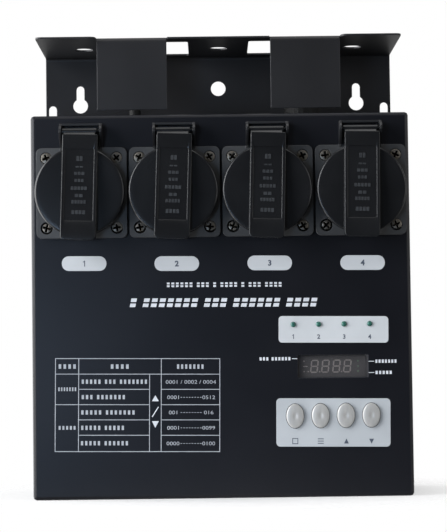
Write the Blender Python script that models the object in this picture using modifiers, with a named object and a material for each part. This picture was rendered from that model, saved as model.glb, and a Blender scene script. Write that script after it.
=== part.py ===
"""Four-channel dimmer pack with flap-covered mains sockets and a folded hanging bracket.

X runs to the right, Y to the rear and Z up. The origin is on the underside of the
case, halfway along its width and its depth. All sizes are in metres.
"""
import math

import bmesh
import bpy
from mathutils import Matrix, Vector

MM = 0.001

# Case
BOX_WIDTH = 206 * MM
BOX_HEIGHT = 208.7 * MM
BOX_DEPTH = 85 * MM
COVER_SHEET = 1.2 * MM
PLATE_SHEET = 1.0 * MM
FOLD_RADIUS = 1.8 * MM
CLEARANCE = 0.3 * MM
# Joined shapes reach this far into each other; cutters run this far past the faces they cut.
BITE = 0.75 * MM
OVERRUN = 2.0 * MM
# Corners closer together than this become one.
WELD_DISTANCE = 0.01 * MM

# Hanging bracket: one sheet with the rear plate
BRACKET_RISE = 45.6 * MM
FLANGE_REACH = 67.3 * MM
FLANGE_CORNER = 3.0 * MM
FLANGE_END_STEP = 3.8 * MM
FLAP_WIDTH = 38.8 * MM
FLAP_FROM_END = 53.3 * MM
FLAP_DROP = 40.4 * MM
BRACKET_FOLD = 2.5 * MM
WINDOW_INNER_EDGE = 17.1 * MM
WINDOW_WIDTH = 25.0 * MM
WINDOW_DEPTH = 47.6 * MM
WINDOW_FROM_PLATE = 7.1 * MM
WINDOW_CORNER = 1.2 * MM
HANGING_HOLE = 10.5 * MM
HANGING_HOLE_FROM_END = 24.5 * MM
HANGING_HOLE_FROM_REAR = 31.1 * MM
KEYHOLE_FROM_END = 20.2 * MM
KEYHOLE_DIAMETER = 8.7 * MM
KEYHOLE_SLOT = 4.6 * MM
KEYHOLE_CENTRE_DROP = 29.2 * MM
KEYHOLE_RISE = 9.5 * MM
MIDDLE_HOLE = 8.7 * MM
MIDDLE_HOLE_DROP = 19.8 * MM
EDGE_SLOT_WIDTH = 4.6 * MM
EDGE_SLOT_MARGIN = 1.6 * MM
EDGE_SLOT_LENGTH = 20.0 * MM
EDGE_SLOT_TOP_DROP = 29.0 * MM
SIDE_LIP = 12.0 * MM
SIDE_LIP_END = 12.0 * MM

# Screws through the sides of the case
COVER_SCREW_END = 26.0 * MM
COVER_SCREW_SHANK = 2.8 * MM
COVER_SCREW_HEAD = 6.0 * MM
COVER_SCREW_HEAD_HEIGHT = 1.7 * MM
COVER_SCREW_HEAD_EDGE = 0.7 * MM
COVER_SCREW_LENGTH = 6.0 * MM

# Cooling slots in the sides
VENT_COUNT = 8
VENT_PITCH = 8.0 * MM
VENT_SLOT = 2.6 * MM
VENT_LENGTH = 34.0 * MM
VENT_CENTRE_HEIGHT = 92.0 * MM

# Mains sockets
SOCKET_PITCH = 50.5 * MM
SOCKET_SIDE_MARGIN = 1.5 * MM
SOCKET_ROW_SHIFT = 0.55 * MM
SOCKET_FROM_TOP = 42.7 * MM
SOCKET_FLANGE = 49.2 * MM
SOCKET_FLANGE_THICKNESS = 3.2 * MM
SOCKET_FLANGE_CORNER = 3.0 * MM
SOCKET_SCREW_PITCH = 38.0 * MM
COLLAR_DIAMETER = 44.4 * MM
COLLAR_REACH = 9.5 * MM
COLLAR_EDGE = 0.6 * MM
RECESS_DIAMETER = 39.0 * MM
RECESS_DEPTH = 17.5 * MM
CUP_DIAMETER = 42.4 * MM
CUP_BASE = 12.0 * MM
PIN_SPACING = 19.0 * MM
PIN_HOLE = 5.2 * MM
PIN_HOLE_DEPTH = 9.0 * MM
GUIDE_RIB_WIDTH = 4.6 * MM
GUIDE_RIB_HEIGHT = 1.7 * MM
GUIDE_RIB_SETBACK = 1.8 * MM
CLIP_WIDTH = 5.0 * MM
CLIP_THICKNESS = 0.8 * MM
CLIP_SPREAD = 35.6 * MM
CLIP_SETBACK = 4.0 * MM
SOCKET_SCREW_HEAD = 5.8 * MM
SOCKET_SCREW_HEAD_HEIGHT = 1.7 * MM
COUNTERSINK = 6.6 * MM
SOCKET_SCREW_SHANK = 3.0 * MM
SOCKET_SCREW_LENGTH = 10.0 * MM

# Flap lids and their hinges
LID_DIAMETER = 48.4 * MM
LID_THICKNESS = 3.2 * MM
LID_EDGE = 1.2 * MM
LID_RIM_OVERLAP = 1.6 * MM
LID_RIM_CLEARANCE = 0.5 * MM
STRIP_WIDTH = 19.3 * MM
STRIP_TOP = 30.8 * MM
STRIP_BOTTOM = 26.3 * MM
STRIP_TOP_REACH = 14.3 * MM
STRIP_BOTTOM_REACH = 19.5 * MM
STRIP_EDGE = 0.8 * MM
POCKET_WIDTH = 15.8 * MM
POCKET_TOP = 22.9 * MM
POCKET_BOTTOM = 16.4 * MM
POCKET_DEPTH = 0.4 * MM
HINGE_RISE = 32.9 * MM
HINGE_REACH = 8.0 * MM
HINGE_BARREL = 3.8 * MM
HINGE_PIN = 1.8 * MM
HINGE_NECK = 2.2 * MM
EAR_THICKNESS = 1.3 * MM
EAR_GAP = 0.55 * MM
EAR_RADIUS = 3.4 * MM
EAR_FOOT = 23.0 * MM
LEDGE_TOP = 37.3 * MM
LEDGE_THICKNESS = 1.2 * MM
LEDGE_REACH = 7.6 * MM
HOUSING_BASE = 2.6 * MM
HOUSING_LIFT = 0.6 * MM

# Push buttons, signal lamps and display: from the right side and the bottom of the case
BUTTON_COUNT = 4
BUTTON_LAST_FROM_RIGHT = 22.7 * MM
BUTTON_PITCH = 13.77 * MM
BUTTON_HEIGHT_ON_PANEL = 43.8 * MM
BUTTON_WIDTH = 10.0 * MM
BUTTON_TALL = 13.7 * MM
BUTTON_REACH = 1.9 * MM
BUTTON_DOME = 0.8 * MM
BUTTON_COLLAR_EDGE = 1.2 * MM
BUTTON_COLLAR_THICKNESS = 1.0 * MM
BUTTON_STEM = 3.6 * MM
BUTTON_TRAVEL = 0.8 * MM
LAMP_COUNT = 4
LAMP_LAST_FROM_RIGHT = 22.9 * MM
LAMP_PITCH = 13.83 * MM
LAMP_HEIGHT_ON_PANEL = 93.3 * MM
LAMP_DIAMETER = 3.0 * MM
LAMP_REACH = 1.0 * MM
LAMP_BODY = 4.0 * MM
LAMP_FOOT = 3.9 * MM
LAMP_FOOT_THICKNESS = 1.0 * MM
LAMP_LEG = 0.6 * MM
DISPLAY_FROM_RIGHT = 43.15 * MM
DISPLAY_HEIGHT_ON_PANEL = 70.5 * MM
DISPLAY_OPENING_WIDTH = 38.0 * MM
DISPLAY_OPENING_TALL = 12.3 * MM
WINDOW_OVERLAP = 2.0 * MM
WINDOW_THICKNESS = 1.0 * MM
MODULE_WIDTH = 36.0 * MM
MODULE_TALL = 11.6 * MM

# Control board behind the front panel
BOARD_SETBACK = 12.0 * MM
BOARD_SHEET = 1.6 * MM
BOARD_WIDTH = 76.0 * MM
BOARD_TALL = 84.0 * MM
BOARD_FROM_RIGHT = 43.0 * MM
BOARD_HEIGHT = 63.0 * MM
BOARD_MARGIN = 4.0 * MM
STUD_DIAMETER = 5.0 * MM
SWITCH_SIZE = 6.2 * MM
SWITCH_TALL = 4.3 * MM
SWITCH_BORE_DEPTH = 2.8 * MM
CHIP_SIZE = 14.0 * MM
CHIP_TALL = 3.0 * MM

# Power board, heatsink and transformer on the rear plate
POWER_BOARD_WIDTH = 170.0 * MM
POWER_BOARD_TALL = 80.0 * MM
POWER_BOARD_HEIGHT = 104.0 * MM
POWER_BOARD_STANDOFF = 8.0 * MM
CAPACITOR_WIDTH = 26.0 * MM
CAPACITOR_TALL = 18.0 * MM
CAPACITOR_DEPTH = 10.0 * MM
CAPACITOR_PITCH = 40.0 * MM
TERMINAL_WIDTH = 120.0 * MM
TERMINAL_TALL = 12.0 * MM
TERMINAL_DEPTH = 14.0 * MM
HEATSINK_WIDTH = 150.0 * MM
HEATSINK_TALL = 32.0 * MM
HEATSINK_HEIGHT = 40.0 * MM
HEATSINK_BASE = 4.0 * MM
HEATSINK_DEPTH = 22.0 * MM
FIN_COUNT = 6
FIN_THICKNESS = 1.6 * MM
TRANSFORMER_WIDTH = 36.0 * MM
TRANSFORMER_TALL = 30.0 * MM
TRANSFORMER_DEPTH = 14.0 * MM
TRANSFORMER_HEIGHT = 170.0 * MM
BOBBIN_WIDTH = 24.0 * MM
BOBBIN_TALL = 24.0 * MM
BOBBIN_DEPTH = 26.0 * MM

# Signal sockets in the underside
SIGNAL_IN_FROM_LEFT = 40.5 * MM
SIGNAL_OUT_FROM_LEFT = 76.5 * MM
SIGNAL_FROM_FRONT = 38.0 * MM
SIGNAL_BARREL = 23.4 * MM
SIGNAL_BARREL_LENGTH = 22.0 * MM
SIGNAL_FLANGE_WIDTH = 26.0 * MM
SIGNAL_FLANGE_DEPTH = 31.0 * MM
SIGNAL_FLANGE_THICKNESS = 2.0 * MM
SIGNAL_FLANGE_CORNER = 3.0 * MM
SIGNAL_CUP = 19.0 * MM
SIGNAL_CUP_DEPTH = 15.5 * MM
SIGNAL_PIN = 2.4 * MM
SIGNAL_PIN_LENGTH = 13.5 * MM
SIGNAL_PIN_CIRCLE = 7.6 * MM
SIGNAL_CORE = 15.4 * MM
SIGNAL_GROOVE_DEPTH = 10.0 * MM
SIGNAL_CONTACT = 2.6 * MM
SIGNAL_CONTACT_DEPTH = 8.0 * MM
SIGNAL_PEG = 2.8 * MM
SIGNAL_PEG_SPREAD_X = 19.0 * MM
SIGNAL_PEG_SPREAD_Y = 24.0 * MM

# Cable gland and overload cut-out on top, behind the bracket's flaps
TOP_FITTING_FROM_REAR = 26.0 * MM
GLAND_THREAD = 19.6 * MM
GLAND_THREAD_LENGTH = 9.0 * MM
GLAND_HEX = 24.0 * MM
GLAND_HEX_THICKNESS = 5.0 * MM
GLAND_DOME = 21.0 * MM
GLAND_DOME_MOUTH = 15.0 * MM
GLAND_DOME_HEIGHT = 15.0 * MM
GLAND_BORE = 10.0 * MM
GLAND_NUT_THICKNESS = 5.0 * MM
CUTOUT_WIDTH = 15.0 * MM
CUTOUT_DEPTH = 30.0 * MM
CUTOUT_TALL = 32.0 * MM
CUTOUT_NECK = 11.0 * MM
CUTOUT_NECK_RISE = 5.5 * MM
CUTOUT_HEX = 14.0 * MM
CUTOUT_HEX_THICKNESS = 2.4 * MM
RESET_DIAMETER = 6.4 * MM
RESET_RISE = 5.0 * MM
RESET_LENGTH = 16.0 * MM
RESET_EDGE = 0.6 * MM

# Planes and places that several pieces share
FRONT = -BOX_DEPTH / 2
REAR = BOX_DEPTH / 2
PANEL_BACK = FRONT + COVER_SHEET
PLATE_FRONT = REAR - PLATE_SHEET
INNER_HALF_WIDTH = BOX_WIDTH / 2 - COVER_SHEET
PLATE_HALF_WIDTH = INNER_HALF_WIDTH - CLEARANCE
PLATE_BOTTOM = COVER_SHEET + CLEARANCE
FLAP_OFFSET = PLATE_HALF_WIDTH - FLAP_FROM_END
SOCKET_COUNT = int((BOX_WIDTH - SOCKET_FLANGE - 2 * SOCKET_SIDE_MARGIN) / SOCKET_PITCH) + 1
DISPLAY_X = BOX_WIDTH / 2 - DISPLAY_FROM_RIGHT
BOARD_X = BOX_WIDTH / 2 - BOARD_FROM_RIGHT
FLANGE_TOP = BOX_HEIGHT + BRACKET_RISE
FLANGE_FRONT = REAR - FLANGE_REACH
CEILING = BOX_HEIGHT - COVER_SHEET
BOARD_FRONT = FRONT + BOARD_SETBACK
TOP_FITTING_Y = REAR - TOP_FITTING_FROM_REAR
SIGNAL_Y = FRONT + SIGNAL_FROM_FRONT
CUP_BACK = RECESS_DEPTH - COLLAR_REACH + CUP_BASE
LID_BACK = COLLAR_REACH + CLEARANCE
LID_FRONT = LID_BACK + LID_THICKNESS
EAR_INNER = STRIP_WIDTH / 2 + EAR_GAP
FLANGE_FACE = SOCKET_FLANGE_THICKNESS + CLEARANCE

FACING = {
    "front": (math.pi / 2, 0.0, 0.0),
    "side": (math.pi / 2, 0.0, math.pi / 2),
    "up": (0.0, 0.0, 0.0),
    "down": (math.pi, 0.0, 0.0),
}


def clear_scene():
    """Remove every object that a new file holds."""
    for obj in list(bpy.data.objects):
        bpy.data.objects.remove(obj, do_unlink=True)


def new_collection(name):
    """A collection linked to the scene."""
    collection = bpy.data.collections.new(name)
    bpy.context.scene.collection.children.link(collection)
    return collection


clear_scene()
PARTS = new_collection("dimmer_pack")
TOOLS = new_collection("dimmer_pack_cutters")


def add_object(name, mesh, centre, facing="up", collection=None):
    """A mesh object at a place, turned so that its own Z faces the front, the side, up or down."""
    obj = bpy.data.objects.new(name, mesh)
    (collection or TOOLS).objects.link(obj)
    obj.location = centre
    obj.rotation_euler = FACING[facing]
    return obj


def box(name, low, high):
    """A box between two opposite corners, from a cube stretched in its mesh."""
    low, high = Vector(low), Vector(high)
    mesh = bpy.data.meshes.new(name)
    bm = bmesh.new()
    bmesh.ops.create_cube(bm, size=1.0)
    bmesh.ops.scale(bm, vec=high - low, verts=bm.verts)
    bm.to_mesh(mesh)
    bm.free()
    return add_object(name, mesh, (low + high) / 2)


def rod(name, diameter, length, centre, facing, segments=24, tip=None):
    """A cylinder along the facing direction, or a cone when its tip has another diameter."""
    mesh = bpy.data.meshes.new(name)
    bm = bmesh.new()
    tip_radius = diameter / 2 if tip is None else tip / 2
    bmesh.ops.create_cone(
        bm, cap_ends=True, segments=segments, radius1=diameter / 2, radius2=tip_radius, depth=length
    )
    bm.to_mesh(mesh)
    bm.free()
    return add_object(name, mesh, centre, facing)


def over_corners(diameter, sides):
    """Diameter over the corners of a polygon whose flats lie at a given diameter."""
    return diameter / math.cos(math.pi / sides)


def drill(name, diameter, length, centre, facing, segments=12):
    """A cutter for a round hole whose flats, not only its corners, lie at the diameter."""
    return rod(name, over_corners(diameter, segments), length, centre, facing, segments)


def turned(name, profile, centre, facing, segments=32, closed=False):
    """A turned shape: (radius, height) points swept round the facing axis by a Screw modifier."""
    mesh = bpy.data.meshes.new(name)
    points = [(radius, 0.0, height) for radius, height in profile]
    edges = [(i, i + 1) for i in range(len(points) - 1)]
    if closed:
        edges.append((len(points) - 1, 0))
    mesh.from_pydata(points, edges, [])
    obj = add_object(name, mesh, centre, facing)
    screw = obj.modifiers.new("turn", "SCREW")
    screw.axis = "Z"
    screw.angle = math.tau
    screw.steps = segments
    screw.render_steps = segments
    screw.use_merge_vertices = True
    screw.merge_threshold = 0.00001
    return obj


def prism(name, outlines, thickness, centre, facing):
    """A flat outline, with any holes as further outlines, given its thickness as a filled 2D curve."""
    curve = bpy.data.curves.new(name, "CURVE")
    curve.dimensions = "2D"
    curve.fill_mode = "BOTH"
    curve.extrude = thickness / 2
    for outline in outlines:
        spline = curve.splines.new("POLY")
        spline.points.add(len(outline) - 1)
        for point, (x, y) in zip(spline.points, outline):
            point.co = (x, y, 0.0, 1.0)
        spline.use_cyclic_u = True
    return as_mesh_object(add_object(name + "_outline", curve, centre, facing), name)


def as_mesh_object(source, name):
    """The evaluated shape of an object as a new mesh object in its place, with its caps welded."""
    bpy.context.view_layer.update()
    evaluated = source.evaluated_get(bpy.context.evaluated_depsgraph_get())
    mesh = bpy.data.meshes.new_from_object(evaluated)
    mesh.name = name
    bm = bmesh.new()
    bm.from_mesh(mesh)
    bmesh.ops.remove_doubles(bm, verts=bm.verts, dist=0.000001)
    bm.to_mesh(mesh)
    bm.free()
    obj = bpy.data.objects.new(name, mesh)
    TOOLS.objects.link(obj)
    obj.matrix_world = source.matrix_world.copy()
    bpy.data.objects.remove(source, do_unlink=True)
    return obj


def combine(target, tool, operation):
    """Join a tool to a target, or cut it away, with an exact Boolean."""
    modifier = target.modifiers.new(tool.name, "BOOLEAN")
    modifier.operation = operation
    modifier.object = tool
    modifier.solver = "EXACT"
    tool.hide_render = True
    tool.display_type = "WIRE"


def join(target, *tools):
    """Join several shapes to a target."""
    for tool in tools:
        combine(target, tool, "UNION")


def cut(target, *tools):
    """Cut several shapes out of a target."""
    for tool in tools:
        combine(target, tool, "DIFFERENCE")


def finished_mesh(obj, name, origin=(0.0, 0.0, 0.0)):
    """The finished shape as one mesh measured from an origin; the object and its cutters go."""
    bpy.context.view_layer.update()
    evaluated = obj.evaluated_get(bpy.context.evaluated_depsgraph_get())
    mesh = bpy.data.meshes.new_from_object(evaluated)
    mesh.name = name
    mesh.transform(Matrix.Translation(-Vector(origin)) @ obj.matrix_world)
    used = [modifier.object for modifier in obj.modifiers if modifier.type == "BOOLEAN"]
    for tool in used + [obj]:
        bpy.data.objects.remove(tool, do_unlink=True)
    return mesh


def finish(obj, colour, roughness, metallic=0.0, smooth_angle=40.0):
    """Give a piece its own material, smooth its round faces and put it with the parts."""
    shader_material = bpy.data.materials.new(obj.name)
    shader_material.use_nodes = True
    shader = shader_material.node_tree.nodes["Principled BSDF"]
    shader.inputs["Base Color"].default_value = (*colour, 1.0)
    shader.inputs["Roughness"].default_value = roughness
    shader.inputs["Metallic"].default_value = metallic
    if len(obj.material_slots) == 0:
        obj.data.materials.append(None)
    obj.material_slots[0].link = "OBJECT"
    obj.material_slots[0].material = shader_material
    if obj.data.polygons:
        obj.data.shade_smooth()
        obj.data.set_sharp_from_angle(angle=math.radians(smooth_angle))
    for collection in list(obj.users_collection):
        collection.objects.unlink(obj)
    PARTS.objects.link(obj)
    return obj


def place_copies(name, mesh, places, colour, roughness, metallic=0.0):
    """Numbered pieces that share one mesh, each at its own place."""
    copies = []
    for number, place in enumerate(places, start=1):
        obj = add_object(f"{name}_{number}", mesh, place)
        copies.append(finish(obj, colour, roughness, metallic))
    return copies


def arc(centre, radius, start, end, steps):
    """Points along an arc from one angle to another, in degrees."""
    points = []
    for step in range(steps + 1):
        angle = math.radians(start + (end - start) * step / steps)
        points.append((centre[0] + radius * math.cos(angle), centre[1] + radius * math.sin(angle)))
    return points


def dome(radius, edge_height, rise, steps=3):
    """Profile of a domed end, from its crown down to its edge."""
    angles = [math.pi / 2 * (1 - step / steps) for step in range(steps + 1)]
    return [(radius * math.cos(angle), edge_height + rise * math.sin(angle)) for angle in angles]


def ring(centre, diameter, steps=24):
    """A full circle of points."""
    return arc(centre, diameter / 2, 0, 360 - 360 / steps, steps - 1)


def ellipse(width, height, steps=24):
    """An ellipse of points round the origin."""
    angles = [math.tau * step / steps for step in range(steps)]
    return [(width / 2 * math.cos(angle), height / 2 * math.sin(angle)) for angle in angles]


def rounded_rectangle(low, high, radius, steps=4):
    """A rectangle between two corners whose own corners are arcs."""
    (x0, y0), (x1, y1) = low, high
    return (
        arc((x1 - radius, y1 - radius), radius, 0, 90, steps)
        + arc((x0 + radius, y1 - radius), radius, 90, 180, steps)
        + arc((x0 + radius, y0 + radius), radius, 180, 270, steps)
        + arc((x1 - radius, y0 + radius), radius, 270, 360, steps)
    )


def slot(centre_x, low, high, width, steps=8):
    """An upright slot with round ends."""
    radius = width / 2
    return arc((centre_x, high - radius), radius, 0, 180, steps) + arc(
        (centre_x, low + radius), radius, 180, 360, steps
    )


def hexagon(across_flats):
    """A hexagon of points for a nut, by its width across the flats."""
    return ring((0.0, 0.0), over_corners(across_flats, 6), steps=6)


def socket_centres():
    """Centre of each mains socket on the panel's front face, left to right."""
    first = SOCKET_ROW_SHIFT - SOCKET_PITCH * (SOCKET_COUNT - 1) / 2
    height = BOX_HEIGHT - SOCKET_FROM_TOP
    return [Vector((first + SOCKET_PITCH * i, FRONT, height)) for i in range(SOCKET_COUNT)]


def row_on_panel(last_from_right, pitch, count, height):
    """Centres of a row of small fittings, left to right, the last one placed from the right side."""
    last = BOX_WIDTH / 2 - last_from_right
    return [Vector((last - pitch * (count - 1 - i), FRONT, height)) for i in range(count)]


def button_centres():
    """Centre of each push button on the panel."""
    return row_on_panel(BUTTON_LAST_FROM_RIGHT, BUTTON_PITCH, BUTTON_COUNT, BUTTON_HEIGHT_ON_PANEL)


def lamp_centres():
    """Centre of each signal lamp on the panel."""
    return row_on_panel(LAMP_LAST_FROM_RIGHT, LAMP_PITCH, LAMP_COUNT, LAMP_HEIGHT_ON_PANEL)


def socket_screw_offsets():
    """Screw places of a mains socket, measured from its centre."""
    half = SOCKET_SCREW_PITCH / 2
    return [(x, z) for z in (half, -half) for x in (-half, half)]


def cover_screw_heights():
    """Heights of the screws in each side of the case."""
    return (COVER_SCREW_END, BOX_HEIGHT - COVER_SCREW_END)


def board_stud_places():
    """Corner places of the studs that carry the control board, as (x, z)."""
    half_x = BOARD_WIDTH / 2 - BOARD_MARGIN
    half_z = BOARD_TALL / 2 - BOARD_MARGIN
    return [(BOARD_X + sx * half_x, BOARD_HEIGHT + sz * half_z) for sx in (-1, 1) for sz in (-1, 1)]


def power_stud_places():
    """Corner places of the studs that carry the power board, as (x, z)."""
    half_x = POWER_BOARD_WIDTH / 2 - BOARD_MARGIN
    half_z = POWER_BOARD_TALL / 2 - BOARD_MARGIN
    return [(sx * half_x, POWER_BOARD_HEIGHT + sz * half_z) for sx in (-1, 1) for sz in (-1, 1)]


def signal_places():
    """Centre of each signal socket on the underside."""
    left = -BOX_WIDTH / 2
    return [Vector((left + x, SIGNAL_Y, 0.0)) for x in (SIGNAL_IN_FROM_LEFT, SIGNAL_OUT_FROM_LEFT)]


def signal_peg_offsets():
    """The two fixing pegs of a signal socket, at opposite corners of its flange."""
    half_x = SIGNAL_PEG_SPREAD_X / 2
    half_y = SIGNAL_PEG_SPREAD_Y / 2
    return [(-half_x, half_y), (half_x, -half_y)]


def side_screw_holes(prefix, diameter):
    """Cutters across the whole width for the screws in both sides."""
    y = PLATE_FRONT - SIDE_LIP / 2
    return [
        drill(f"{prefix}_side_hole_{i}", diameter, BOX_WIDTH + 2 * OVERRUN, (0.0, y, z), "side", 10)
        for i, z in enumerate(cover_screw_heights(), start=1)
    ]


def cover_openings(cover):
    """Cut everything that passes through the front cover."""
    through = 2 * (COVER_SHEET + OVERRUN)
    for i, centre in enumerate(socket_centres(), start=1):
        hole = CUP_DIAMETER + 2 * CLEARANCE
        cut(cover, drill(f"socket_hole_{i}", hole, through, centre, "front", 24))
        for j, (x, z) in enumerate(socket_screw_offsets(), start=1):
            place = centre + Vector((x, 0.0, z))
            hole = SOCKET_SCREW_SHANK + 2 * CLEARANCE
            cut(cover, drill(f"socket_screw_hole_{i}_{j}", hole, through, place, "front", 8))
    for i, centre in enumerate(button_centres(), start=1):
        outline = ellipse(BUTTON_WIDTH + 2 * CLEARANCE, BUTTON_TALL + 2 * CLEARANCE)
        cut(cover, prism(f"button_hole_{i}", [outline], through, centre, "front"))
    for i, centre in enumerate(lamp_centres(), start=1):
        cut(cover, drill(f"lamp_hole_{i}", LAMP_DIAMETER + 2 * CLEARANCE, through, centre, "front"))
    display = Vector((DISPLAY_X, FRONT, DISPLAY_HEIGHT_ON_PANEL))
    half = Vector((DISPLAY_OPENING_WIDTH / 2, through / 2, DISPLAY_OPENING_TALL / 2))
    cut(cover, box("display_hole", display - half, display + half))
    for i in range(VENT_COUNT):
        z = VENT_CENTRE_HEIGHT + (i - (VENT_COUNT - 1) / 2) * VENT_PITCH
        half_slot = Vector((BOX_WIDTH, VENT_LENGTH / 2, VENT_SLOT / 2))
        cut(cover, box(f"vent_{i + 1}", Vector((0, 0, z)) - half_slot, Vector((0, 0, z)) + half_slot))
    cut(cover, *side_screw_holes("cover", COVER_SCREW_SHANK + 2 * CLEARANCE))
    for i, centre in enumerate(signal_places(), start=1):
        hole = SIGNAL_BARREL + 2 * CLEARANCE
        cut(cover, drill(f"signal_hole_{i}", hole, through, centre, "up", 24))
        for j, (x, y) in enumerate(signal_peg_offsets(), start=1):
            place = centre + Vector((x, y, 0.0))
            hole = SIGNAL_PEG + 2 * CLEARANCE
            cut(cover, drill(f"signal_peg_hole_{i}_{j}", hole, through, place, "up", 8))
    for name, x, diameter in (
        ("gland_hole", FLAP_OFFSET, GLAND_THREAD + 2 * CLEARANCE),
        ("cutout_hole", -FLAP_OFFSET, CUTOUT_NECK + 2 * CLEARANCE),
    ):
        cut(cover, drill(name, diameter, through, (x, TOP_FITTING_Y, BOX_HEIGHT), "up", 20))


def make_front_cover():
    """Folded steel pan: the front panel with its four walls, open at the rear."""
    mesh = bpy.data.meshes.new("front_cover")
    bm = bmesh.new()
    bmesh.ops.create_cube(bm, size=1.0)
    bmesh.ops.scale(bm, vec=(BOX_WIDTH, BOX_DEPTH, BOX_HEIGHT), verts=bm.verts)
    bmesh.ops.translate(bm, vec=(0.0, 0.0, BOX_HEIGHT / 2), verts=bm.verts)
    open_side = [face for face in bm.faces if face.normal.y > 0.5]
    bmesh.ops.delete(bm, geom=open_side, context="FACES_ONLY")
    bm.to_mesh(mesh)
    bm.free()
    cover = add_object("front_cover", mesh, (0.0, 0.0, 0.0))
    fold = cover.modifiers.new("fold", "BEVEL")
    fold.width = FOLD_RADIUS
    fold.segments = 2
    fold.limit_method = "ANGLE"
    wall = cover.modifiers.new("wall", "SOLIDIFY")
    wall.thickness = COVER_SHEET
    wall.offset = -1.0
    wall.use_even_offset = True
    # The top wall stops short of the rear plate, which rises past it.
    low = (-BOX_WIDTH, PLATE_FRONT - CLEARANCE, CEILING - OVERRUN)
    high = (BOX_WIDTH, REAR + OVERRUN, BOX_HEIGHT + OVERRUN)
    cut(cover, box("plate_notch", low, high))
    stud_start = PANEL_BACK - BITE
    stud_end = BOARD_FRONT - CLEARANCE
    for i, (x, z) in enumerate(board_stud_places(), start=1):
        centre = (x, (stud_start + stud_end) / 2, z)
        join(cover, rod(f"board_stud_{i}", STUD_DIAMETER, stud_end - stud_start, centre, "front", 12))
    cover_openings(cover)
    weld_corners(cover)
    return finish(cover, (0.013, 0.014, 0.018), 0.45, smooth_angle=25)


def weld_corners(obj):
    """Join the nearly coincident corners that overlapping cuts leave."""
    weld = obj.modifiers.new("weld", "WELD")
    weld.merge_threshold = WELD_DISTANCE


def folded_strip(start, corner, end, thickness, radius, steps=4):
    """Outline of a strip folded once by a right angle, its outer face through three (y, z) points."""
    start, corner, end = Vector(start), Vector(corner), Vector(end)
    along = (corner - start).normalized()
    inward = (end - corner).normalized()
    bend = corner - along * radius + inward * radius
    outer, inner = [], []
    for step in range(steps + 1):
        angle = math.pi / 2 * step / steps
        direction = along * math.sin(angle) - inward * math.cos(angle)
        outer.append(bend + direction * radius)
        inner.append(bend + direction * (radius - thickness))
    points = [start, *outer, end, end - along * thickness, *reversed(inner), start + inward * thickness]
    return [tuple(point) for point in points]


def flange_outline():
    """Outline of the bracket's flange from above: stepped front edge with rounded corners."""
    half = PLATE_HALF_WIDTH
    rear = REAR - BRACKET_FOLD
    front = FLANGE_FRONT
    step_x = FLAP_OFFSET + FLAP_WIDTH / 2 + 2 * CLEARANCE
    tip = front - FLANGE_END_STEP
    r = FLANGE_CORNER
    right = (
        [(half, rear)]
        + arc((half - r, tip + r), r, 0, -90, 3)
        + arc((step_x + r, tip + r), r, -90, -180, 3)
        + [(step_x, front)]
    )
    left = [(-x, y) for x, y in reversed(right)]
    return right + left


def flange_openings():
    """Windows and hanging holes in the bracket's flange, as outlines from above."""
    window_rear = PLATE_FRONT - WINDOW_FROM_PLATE
    window_front = window_rear - WINDOW_DEPTH
    inner = WINDOW_INNER_EDGE
    outer = WINDOW_INNER_EDGE + WINDOW_WIDTH
    openings = [
        rounded_rectangle((inner, window_front), (outer, window_rear), WINDOW_CORNER, 2),
        rounded_rectangle((-outer, window_front), (-inner, window_rear), WINDOW_CORNER, 2),
    ]
    hole_y = REAR - HANGING_HOLE_FROM_REAR
    hole_x = PLATE_HALF_WIDTH - HANGING_HOLE_FROM_END
    for x in (-hole_x, 0.0, hole_x):
        openings.append(ring((x, hole_y), HANGING_HOLE, 20))
    return openings


def keyhole(x):
    """Keyhole outline: a circle with a narrower slot rising from it."""
    centre_z = FLANGE_TOP - KEYHOLE_CENTRE_DROP
    radius = KEYHOLE_DIAMETER / 2
    slot_radius = KEYHOLE_SLOT / 2
    shoulder = math.degrees(math.acos(slot_radius / radius))
    circle = arc((x, centre_z), radius, shoulder, shoulder - 360 + 2 * (90 - shoulder), 16)
    return circle + arc((x, centre_z + KEYHOLE_RISE), slot_radius, 180, 0, 6)


def plate_openings():
    """Holes in the rear plate, as outlines from the front."""
    slot_top = FLANGE_TOP - EDGE_SLOT_TOP_DROP
    slot_x = PLATE_HALF_WIDTH - EDGE_SLOT_MARGIN - EDGE_SLOT_WIDTH / 2
    openings = [ring((0.0, FLANGE_TOP - MIDDLE_HOLE_DROP), MIDDLE_HOLE, 20)]
    for side in (-1, 1):
        openings.append(keyhole(side * (PLATE_HALF_WIDTH - KEYHOLE_FROM_END)))
        openings.append(slot(side * slot_x, slot_top - EDGE_SLOT_LENGTH, slot_top, EDGE_SLOT_WIDTH, 6))
    return openings


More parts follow.
